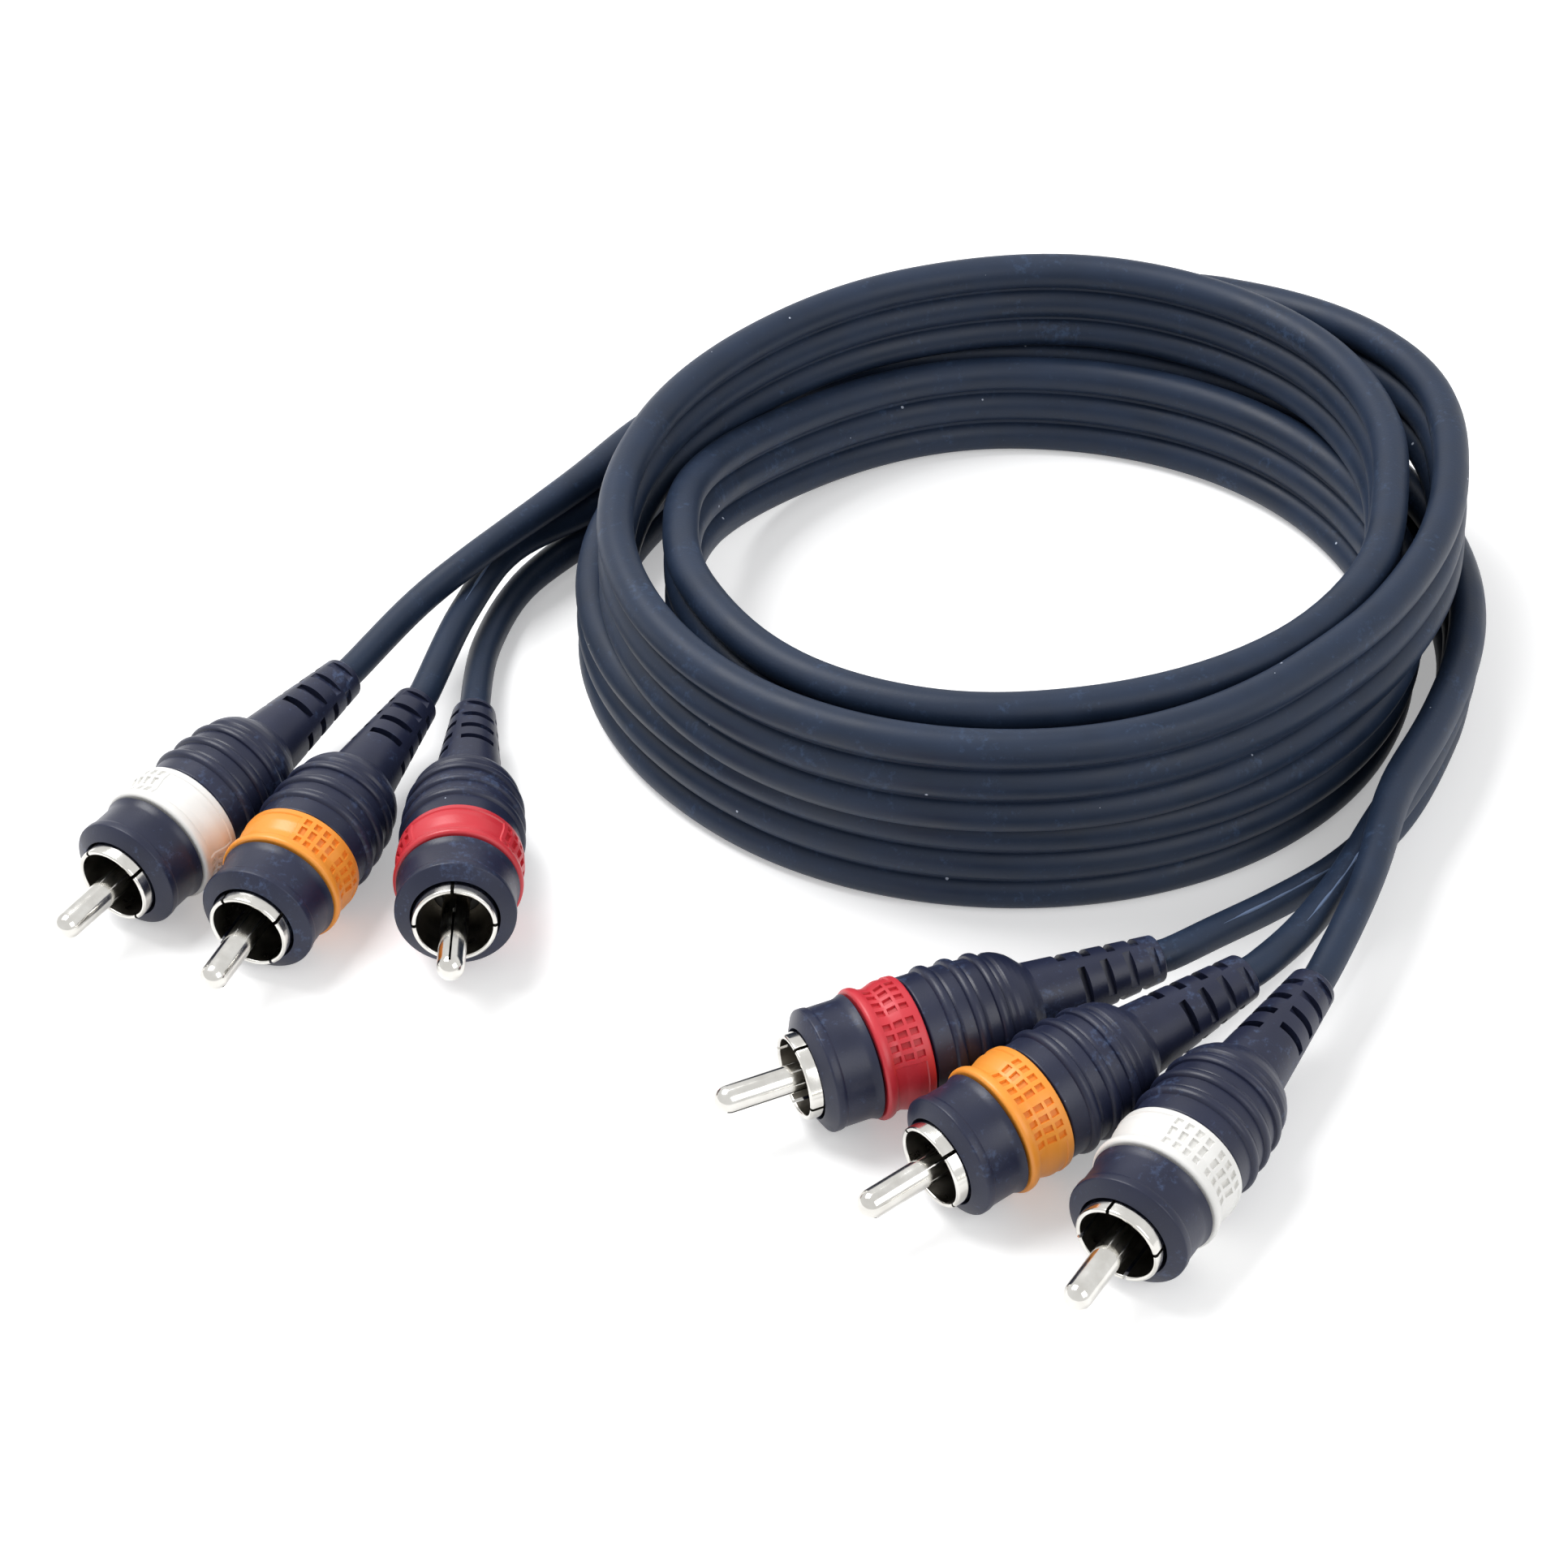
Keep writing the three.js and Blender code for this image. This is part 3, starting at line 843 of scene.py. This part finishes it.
def in_sleeve(place, normal):
    """True on the inside of the sleeve and on its floor, which get painted shade."""
    inward = place.y * normal.y + place.z * normal.z < 0
    flat = abs(normal.x) > NEARLY_FLAT
    within = place.yz.length < MOUTH_RADIUS + CLEAR_OF_WALL
    return -place.x > RIM_LENGTH and (inward or flat) and within


# Faces inside the sleeve take the second material, whose darker colour is painted shade.
for face in shell.data.polygons:
    face.material_index = 1 if in_sleeve(face.center / MM, face.normal) else 0
smooth_shaded(shell, 30)
print("shell:", len(shell.data.polygons), "faces")

# %% The centre pin
PIN_RADIUS = 1.6
PIN_REACH = 9.2
PIN_BORE = 1.0
PIN_END = 12.8
SLIT_WIDTH = 0.26
SLIT_LENGTH = 9.6
SLIT_FRONT = 0.9
SLIT_FLOOR = 0.4


def pin_outline():
    """Outline of the pin, from the axis back along its bore and forward to its round tip."""
    tip = -PIN_REACH
    bore_front = tip + PIN_RADIUS
    outline = [(bore_front, 0), (bore_front, PIN_BORE), (PIN_END, PIN_BORE), (PIN_END, PIN_RADIUS)]
    outline += arc(tip + PIN_RADIUS, 0, PIN_RADIUS, 90, 180, 12)
    return outline


pin = spun("pin", pin_outline(), 64)
slit = cutting_box(
    (PIN_REACH - SLIT_FRONT - SLIT_LENGTH, -SLIT_WIDTH / 2, SLIT_FLOOR),
    (PIN_REACH - SLIT_FRONT, SLIT_WIDTH / 2, 2 * PIN_RADIUS),
)
cut_away(pin, slit)
smooth_shaded(pin, 40)
print("pin:", len(pin.data.polygons), "faces")

# %% The insulator
INSULATOR_RADIUS = 2.9
INSULATOR_STATION = 6.4
INSULATOR_END = 12.6
INSULATOR_EDGE_ROUND = 0.25
edge = INSULATOR_EDGE_ROUND
insulator_outline = [
    (INSULATOR_STATION, PIN_RADIUS + FIT),
    (INSULATOR_END, PIN_RADIUS + FIT),
    (INSULATOR_END, INSULATOR_RADIUS),
]
insulator_outline += arc(INSULATOR_STATION + edge, INSULATOR_RADIUS - edge, edge, 90, 180, 3)
insulator_outline.append(insulator_outline[0])
insulator = spun("insulator", insulator_outline, 64)
smooth_shaded(insulator)
print("insulator:", len(insulator.data.polygons), "faces")

# %% The wire and its screen inside the moulding
CORE_RADIUS = 0.7
CORE_FRONT = 9.9
SCREEN_BORE = 1.0
SCREEN_RADIUS = 1.3
SCREEN_FRONT = 14.3
CORE_EDGE = 0.2
SCREEN_EDGE = 0.1
wire_back = RELIEF_STATION - FIT
core_outline = [
    (wire_back, 0),
    (wire_back, CORE_RADIUS),
    (CORE_FRONT + CORE_EDGE, CORE_RADIUS),
    (CORE_FRONT, CORE_RADIUS - CORE_EDGE),
    (CORE_FRONT, 0),
]
core = spun("core", core_outline, 24)
screen_outline = [
    (SCREEN_FRONT, SCREEN_BORE),
    (wire_back, SCREEN_BORE),
    (wire_back, SCREEN_RADIUS),
    (SCREEN_FRONT + SCREEN_EDGE, SCREEN_RADIUS),
    (SCREEN_FRONT, SCREEN_RADIUS - SCREEN_EDGE),
    (SCREEN_FRONT, SCREEN_BORE),
]
screen = spun("screen", screen_outline, 32)
for inner in (core, screen):
    smooth_shaded(inner)
    print(inner.name + ":", len(inner.data.polygons), "faces")

# %% [markdown]
# ## One set of pieces for each plug
# The seven pieces were modelled once. Each plug now gets its own copies with meshes of their own, turned
# about the axis as they happen to sit, and placed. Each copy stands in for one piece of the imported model.

# %% Copies for the six plugs
PLUG_PIECES = {
    "boot": (boot, "moulded_boot"),
    "ring": (ring, "colour_ring"),
    "shell": (shell, "ground_shell"),
    "pin": (pin, "centre_pin"),
    "insulator": (insulator, "pin_insulator"),
    "core": (core, "signal_core"),
    "screen": (screen, "ground_braid"),
}


def placed_copy(original, name, matrix, turn):
    """A copy with its own mesh, turned about its axis and moved into the model's frame."""
    take_up(original)
    bpy.ops.object.duplicate()
    copy = bpy.context.object
    copy.name = name
    copy.data.name = name
    copy.matrix_world = matrix @ Matrix.Rotation(math.radians(turn), 4, "X")
    apply_place(copy)
    return copy


for name, plug in plugs.items():
    plug["pieces"] = {}
    for part, (original, node) in PLUG_PIECES.items():
        turn = plug["turns"].get(part, 0)
        copy = placed_copy(original, f"{name}_{part}", plug["matrix"], turn)
        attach(copy, "root")
        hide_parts(f"{name}_{node}")
        plug["pieces"][part] = copy
    low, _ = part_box(f"{name}_moulded_boot")
    corners = [Vector(corner) for corner in plug["pieces"]["boot"].bound_box]
    away = [round((min(corner[i] for corner in corners) - low[i]) / MM, 2) for i in range(3)]
    print(name, "boot's lowest corner away from the packed one, in mm:", away)
for original, _ in PLUG_PIECES.values():
    bpy.data.objects.remove(original)

# %% [markdown]
# ## Cords
# The three strands run from plug to plug. Each is attached to the root in place of the imported leads,
# and the pieces of the plugs on its two ends are listed with it.

# %% Attaching the strands
for strand, piece in strands.items():
    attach(piece, "root")
    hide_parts(f"left_{strand}_lead", f"right_{strand}_lead")
    ends = [*plugs["left_" + strand]["pieces"].values(), *plugs["right_" + strand]["pieces"].values()]
    if strand in tears:
        ends += tears[strand]
    if strand == "white":
        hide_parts("cable_coil")
        ends += webs
for extra in [*webs, *(tear for pair in tears.values() for tear in pair)]:
    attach(extra, "root")

# %% [markdown]
# ## Finishes
# The plug's moulding, the cable's skin, the rings and the metal differ in colour and gloss, yet share
# fine grain, clouding and dust. Each could be painted by hand, but noise in the shader works on every
# piece at once and at any distance. What several finishes share is a node group with named sockets.

# %% Helpers for finishes
def new_material(name):
    """A material with its Principled shader, as (material, nodes, links, shader)."""
    material = bpy.data.materials.new(name)
    material.use_nodes = True
    tree = material.node_tree
    return material, tree.nodes, tree.links, tree.nodes["Principled BSDF"]


def new_group(name, inputs, outputs):
    """A shader node group with value inputs (name, default), as (group, input node, output node)."""
    group = bpy.data.node_groups.new(name, "ShaderNodeTree")
    group.interface.new_socket("Vector", in_out="INPUT", socket_type="NodeSocketVector")
    for socket_name, default in inputs:
        socket = group.interface.new_socket(socket_name, in_out="INPUT", socket_type="NodeSocketFloat")
        socket.default_value = default
    for socket_name in outputs:
        group.interface.new_socket(socket_name, in_out="OUTPUT", socket_type="NodeSocketFloat")
    return group, group.nodes.new("NodeGroupInput"), group.nodes.new("NodeGroupOutput")


def math_node(tree, operation, a, b=0.0, clamp=False):
    """A Math node; a and b are sockets or numbers. Returns its output."""
    node = tree.nodes.new("ShaderNodeMath")
    node.operation = operation
    node.use_clamp = clamp
    for socket, value in zip(node.inputs, (a, b)):
        if isinstance(value, (int, float)):
            socket.default_value = value
        else:
            tree.links.new(value, socket)
    return node.outputs[0]


# %% Grain
MM_PER_METRE = 1000.0
grain_values = [("Size", 0.3), ("Patch Size", 8)]
grain_group, grain_in, grain_out = new_group("fine grain", grain_values, ["Height", "Patches"])
fine = grain_group.nodes.new("ShaderNodeTexNoise")
fine.inputs["Detail"].default_value = 3
grain_group.links.new(grain_in.outputs["Vector"], fine.inputs["Vector"])
grain_group.links.new(
    math_node(grain_group, "DIVIDE", MM_PER_METRE, grain_in.outputs["Size"]), fine.inputs["Scale"])
grain_group.links.new(fine.outputs["Fac"], grain_out.inputs["Height"])
patches = grain_group.nodes.new("ShaderNodeTexNoise")
patches.inputs["Detail"].default_value = 4
grain_group.links.new(grain_in.outputs["Vector"], patches.inputs["Vector"])
grain_group.links.new(
    math_node(grain_group, "DIVIDE", MM_PER_METRE, grain_in.outputs["Patch Size"]), patches.inputs["Scale"])
grain_group.links.new(patches.outputs["Fac"], grain_out.inputs["Patches"])

# %% Dust
dust_values = [("Spacing", 3), ("Speck", 0.06), ("Share", 0.3)]
dust_group, dust_in, dust_out = new_group("dust specks", dust_values, ["Mask"])
cells = dust_group.nodes.new("ShaderNodeTexVoronoi")
dust_group.links.new(dust_in.outputs["Vector"], cells.inputs["Vector"])
dust_group.links.new(
    math_node(dust_group, "DIVIDE", MM_PER_METRE, dust_in.outputs["Spacing"]), cells.inputs["Scale"])
split = dust_group.nodes.new("ShaderNodeSeparateColor")
dust_group.links.new(cells.outputs["Color"], split.inputs["Color"])
size = math_node(dust_group, "MULTIPLY", split.outputs["Red"], dust_in.outputs["Speck"])
inside = math_node(dust_group, "LESS_THAN", cells.outputs["Distance"], size)
kept = math_node(dust_group, "LESS_THAN", split.outputs["Green"], dust_in.outputs["Share"])
dust_group.links.new(math_node(dust_group, "MULTIPLY", inside, kept), dust_out.inputs["Mask"])

# %% Rubbed marks
WORN_SCALE = 160
WORN_SHARE = 0.6
MARKS_LEVEL = 1.25
MARKS_CONTRAST = 5.0
scuff_values = [("Size", 0.9), ("Share", 0.3)]
scuff_group, scuff_in, scuff_out = new_group("rubbed marks", scuff_values, ["Mask"])
marks = scuff_group.nodes.new("ShaderNodeTexNoise")
marks.inputs["Detail"].default_value = 6
marks.inputs["Roughness"].default_value = 0.7
scuff_group.links.new(scuff_in.outputs["Vector"], marks.inputs["Vector"])
scuff_group.links.new(
    math_node(scuff_group, "DIVIDE", MM_PER_METRE, scuff_in.outputs["Size"]), marks.inputs["Scale"])
worn = scuff_group.nodes.new("ShaderNodeTexNoise")
worn.inputs["Scale"].default_value = WORN_SCALE
scuff_group.links.new(scuff_in.outputs["Vector"], worn.inputs["Vector"])
worn_part = math_node(scuff_group, "MULTIPLY", worn.outputs["Fac"], WORN_SHARE)
over = math_node(scuff_group, "ADD", marks.outputs["Fac"], worn_part)
limit = math_node(scuff_group, "SUBTRACT", MARKS_LEVEL, scuff_in.outputs["Share"])
above = math_node(scuff_group, "SUBTRACT", over, limit)
mask = math_node(scuff_group, "MULTIPLY", above, MARKS_CONTRAST, clamp=True)
scuff_group.links.new(mask, scuff_out.inputs["Mask"])
print("node groups:", [group.name for group in (grain_group, dust_group, scuff_group)])


# %% Helpers that wire a material
def add_group(tree, group, vector, **values):
    """Places a node group in a material with its own values, fed by that vector."""
    node = tree.nodes.new("ShaderNodeGroup")
    node.node_tree = group
    tree.links.new(vector, node.inputs["Vector"])
    for name, value in values.items():
        node.inputs[name.replace("_", " ")].default_value = value
    return node


def mixed(tree, factor, a, b):
    """A colour between a and b, each a colour or a socket."""
    node = tree.nodes.new("ShaderNodeMix")
    node.data_type = "RGBA"
    tree.links.new(factor, node.inputs["Factor"])
    colour_inputs = [s for s in node.inputs if s.type == "RGBA"]
    for socket, value in zip(colour_inputs, (a, b)):
        if isinstance(value, tuple):
            socket.default_value = (*value, 1)
        else:
            tree.links.new(value, socket)
    return next(s for s in node.outputs if s.type == "RGBA")


def stretched(tree, socket, low, high):
    """A value spread so that it runs from low to high where the socket runs from 0.3 to 0.7."""
    node = tree.nodes.new("ShaderNodeMapRange")
    node.inputs["From Min"].default_value = 0.3
    node.inputs["From Max"].default_value = 0.7
    node.inputs["To Min"].default_value = low
    node.inputs["To Max"].default_value = high
    tree.links.new(socket, node.inputs["Value"])
    return node.outputs["Result"]


# %% [markdown]
# ## Plastic
# The boots and the cable's skin are a dull, blue black vinyl that shows grease, dust and rubbed marks,
# and the rings are a harder, glossier plastic. One recipe serves them all: two close colours that cloud
# into each other, a gloss that clouds with them, fine grain as bump, and specks of dust on top.

# %% Moulded plastic
PATCH_SIZE = 6
MARK_SIZE = 0.9
DUST_SPACING = 3
GLOSS_SPREAD = 0.06


def plastic(name, dark, light, rough, dust_colour, grain=(0.25, 0.012), speck=0.06, share=0.25,
            scuff_share=0.0, scuff_colour=(0.1, 0.13, 0.2), specular=0.5):
    """Moulded plastic: patchy colour and gloss, fine grain as bump, rubbed marks and specks of dust."""
    material, nodes, links, shader = new_material(name)
    tree = material.node_tree
    grain_size, grain_depth = grain
    place = nodes.new("ShaderNodeTexCoord").outputs["Object"]
    fine_grain = add_group(tree, grain_group, place, Size=grain_size, Patch_Size=PATCH_SIZE)
    patches = fine_grain.outputs["Patches"]
    colour = mixed(tree, stretched(tree, patches, 0, 1), dark, light)
    if scuff_share:
        scuffs = add_group(tree, scuff_group, place, Size=MARK_SIZE, Share=scuff_share)
        colour = mixed(tree, scuffs.outputs["Mask"], colour, scuff_colour)
    dust = add_group(tree, dust_group, place, Spacing=DUST_SPACING, Speck=speck, Share=share)
    colour = mixed(tree, dust.outputs["Mask"], colour, dust_colour)
    shader.inputs["Specular IOR Level"].default_value = specular
    links.new(colour, shader.inputs["Base Color"])
    gloss = stretched(tree, patches, rough - GLOSS_SPREAD, rough + GLOSS_SPREAD)
    links.new(gloss, shader.inputs["Roughness"])
    bump = nodes.new("ShaderNodeBump")
    bump.inputs["Strength"].default_value = 1
    bump.inputs["Distance"].default_value = grain_depth * MM
    links.new(fine_grain.outputs["Height"], bump.inputs["Height"])
    links.new(bump.outputs["Normal"], shader.inputs["Normal"])
    return material


# %% Plastic finishes
DUST = (0.45, 0.5, 0.6)
moulding = plastic(
    "moulding", (0.0105, 0.0135, 0.034), (0.0155, 0.0195, 0.046), 0.4, DUST,
    scuff_share=0.36, scuff_colour=(0.05, 0.075, 0.15), specular=0.36,
)
cable_skin = plastic(
    "cable skin", (0.0095, 0.0185, 0.040), (0.014, 0.026, 0.055), 0.5, DUST,
    grain=(0.3, 0.015), speck=0.07, share=0.35,
    scuff_share=0.34, scuff_colour=(0.03, 0.055, 0.11), specular=0.3,
)
# The torn edges' light colour is partly the torn plastic and partly painted highlight.
torn_skin_and_highlight = plastic("torn skin with painted highlight", (0.07, 0.11, 0.2), (0.12, 0.17, 0.28), 0.6, DUST)
# for each ring: its darker and lighter colour, the painted shade of its pits, and its dust
RING_COLOURS = {
    "white": ((0.80, 0.795, 0.77), (0.85, 0.845, 0.825), (0.76, 0.75, 0.72), (0.6, 0.58, 0.55)),
    "orange": ((0.86, 0.30, 0.032), (0.92, 0.345, 0.045), (0.78, 0.22, 0.018), (0.9, 0.6, 0.3)),
    "red": ((0.53, 0.024, 0.036), (0.60, 0.034, 0.05), (0.42, 0.011, 0.018), (0.8, 0.4, 0.4)),
}
# The pits' finishes are darker copies of the ring colours: painted shade in the recesses.
ring_finishes, pit_shade_finishes = {}, {}
for colour, (dark, light, pit, dust_colour) in RING_COLOURS.items():
    ring_finishes[colour] = plastic(f"{colour} ring", dark, light, 0.4, dust_colour, share=0.12)
    pit_shade_finishes[colour] = plastic(f"{colour} ring pits painted shade", pit, dark, 0.5, dust_colour, share=0.05)
black_plastic = plastic("insulator plastic", (0.012, 0.012, 0.012), (0.018, 0.018, 0.018), 0.4, DUST)
core_plastic = plastic("core insulation", (0.60, 0.58, 0.53), (0.68, 0.66, 0.60), 0.4, DUST)
print("ring finishes:", sorted(ring_finishes))

# %% [markdown]
# ## Metal
# The pins and shells are bright nickel, which looks like what lies round it. Inside the sleeve little
# light gets back out, so that side gets a darker colour, which is painted shade, and a duller gloss of its
# own. A mirror that is perfectly even looks false, and a faint cloud in the gloss is enough to mend that.

# %% Metal finishes
METAL_GRAIN = 0.4
METAL_CLOUD = 2
METAL_BUMP = 0.002


def plated(name, dark, light, rough):
    """Plated metal with faint clouding of its colour and gloss, and a very slight bump."""
    material, nodes, links, shader = new_material(name)
    tree = material.node_tree
    place = nodes.new("ShaderNodeTexCoord").outputs["Object"]
    grain = add_group(tree, grain_group, place, Size=METAL_GRAIN, Patch_Size=METAL_CLOUD)
    patches = grain.outputs["Patches"]
    links.new(mixed(tree, stretched(tree, patches, 0, 1), dark, light), shader.inputs["Base Color"])
    links.new(stretched(tree, patches, rough - 0.05, rough + 0.06), shader.inputs["Roughness"])
    shader.inputs["Metallic"].default_value = 1
    bump = nodes.new("ShaderNodeBump")
    bump.inputs["Strength"].default_value = 1
    bump.inputs["Distance"].default_value = METAL_BUMP * MM
    links.new(grain.outputs["Height"], bump.inputs["Height"])
    links.new(bump.outputs["Normal"], shader.inputs["Normal"])
    return material


nickel = plated("nickel plate", (0.60, 0.585, 0.55), (0.70, 0.69, 0.66), 0.14)
# Its darker colour is painted shade inside the sleeve; its higher roughness is a duller finish.
painted_shade_nickel = plated("nickel with painted shade in the sleeve", (0.13, 0.12, 0.1), (0.22, 0.205, 0.18), 0.3)
copper = plated("copper screen", (0.75, 0.35, 0.2), (0.85, 0.43, 0.27), 0.35)
print("metals:", [metal.name for metal in (nickel, painted_shade_nickel, copper)])


# %% Giving the pieces their finish
def finish_with(piece, slot, *materials):
    """Gives a piece its materials, in the order of its faces' numbers; the slot is not used."""
    for material in materials:
        piece.data.materials.append(material)


for name, plug in plugs.items():
    colour = plug["colour"]
    pieces = plug["pieces"]
    finish_with(pieces["boot"], "moulding", moulding)
    # The ring's second material is the painted shade on its pit floors.
    finish_with(pieces["ring"], colour + "_ring", ring_finishes[colour], pit_shade_finishes[colour])
    finish_with(pieces["shell"], "nickel_plate", nickel, painted_shade_nickel)
    finish_with(pieces["pin"], "nickel_plate", nickel)
    finish_with(pieces["insulator"], "pin_insulator", black_plastic)
    finish_with(pieces["core"], "core_insulation", core_plastic)
    finish_with(pieces["screen"], "copper_braid", copper)
for piece in [*strands.values(), *webs]:
    finish_with(piece, "cable_skin", cable_skin)
# The torn edges take the light finish: paler torn plastic, and painted highlight as well.
for pair in tears.values():
    for piece in pair:
        finish_with(piece, "cable_skin", torn_skin_and_highlight)

# %% [markdown]
# ## Floor and light
# The photograph has a white ground and even, soft light. More light would wash out the dark plastic, so
# the white comes from the floor and the world instead: both are brighter to the camera and to shiny
# metal than to anything they light. Two large lamps give the soft highlights and a faint shadow.

# %% The floor
FLOOR_SIDE = 6
FLOOR_GLOW = 0.35


def seen_share(tree):
    """1 for the camera and for mirror or glass rays, and 0 for the light that falls on things."""
    path = tree.nodes.new("ShaderNodeLightPath")
    seen = math_node(tree, "ADD", path.outputs["Is Camera Ray"], path.outputs["Is Glossy Ray"])
    return math_node(tree, "ADD", seen, path.outputs["Is Transmission Ray"], clamp=True)


let_go()
bpy.ops.mesh.primitive_plane_add(size=FLOOR_SIDE, location=(0, 0, 0))
floor = bpy.context.object
floor.name = "floor"
floor_finish, nodes, links, shader = new_material("floor")
shader.inputs["Base Color"].default_value = (0.9, 0.9, 0.9, 1)
shader.inputs["Roughness"].default_value = 0.8
shader.inputs["Emission Color"].default_value = (1, 1, 1, 1)
tree = floor_finish.node_tree
links.new(math_node(tree, "MULTIPLY", seen_share(tree), FLOOR_GLOW), shader.inputs["Emission Strength"])
floor.data.materials.append(floor_finish)
print("floor side in m:", FLOOR_SIDE)

# %% The world
AMBIENT = 0.45
world = bpy.data.worlds.new("studio")
bpy.context.scene.world = world
world.use_nodes = True
tree = world.node_tree
background = tree.nodes["Background"]
background.inputs["Color"].default_value = (1, 1, 1, 1)
extra = math_node(tree, "MULTIPLY", seen_share(tree), 1 - AMBIENT)
tree.links.new(math_node(tree, "ADD", extra, AMBIENT), background.inputs["Strength"])
print("world lights things at:", AMBIENT)


# %% The lamps
LAMP_TARGET = (0.02, 0.04, 0)


def softbox(name, place, size, power):
    """A square area lamp at a place in metres that looks at the middle of the lead."""
    data = bpy.data.lights.new(name, "AREA")
    data.shape = "SQUARE"
    data.size = size
    data.energy = power
    lamp = bpy.data.objects.new(name, data)
    lamp.location = place
    lamp.rotation_euler = (Vector(LAMP_TARGET) - Vector(place)).to_track_quat("-Z", "Y").to_euler()
    bpy.context.scene.collection.objects.link(lamp)


softbox("key", (-0.35, 0.25, 0.75), 0.5, 7)
softbox("fill", (0.6, -0.5, 0.6), 0.6, 3)
bpy.context.scene.view_settings.view_transform = "Standard"
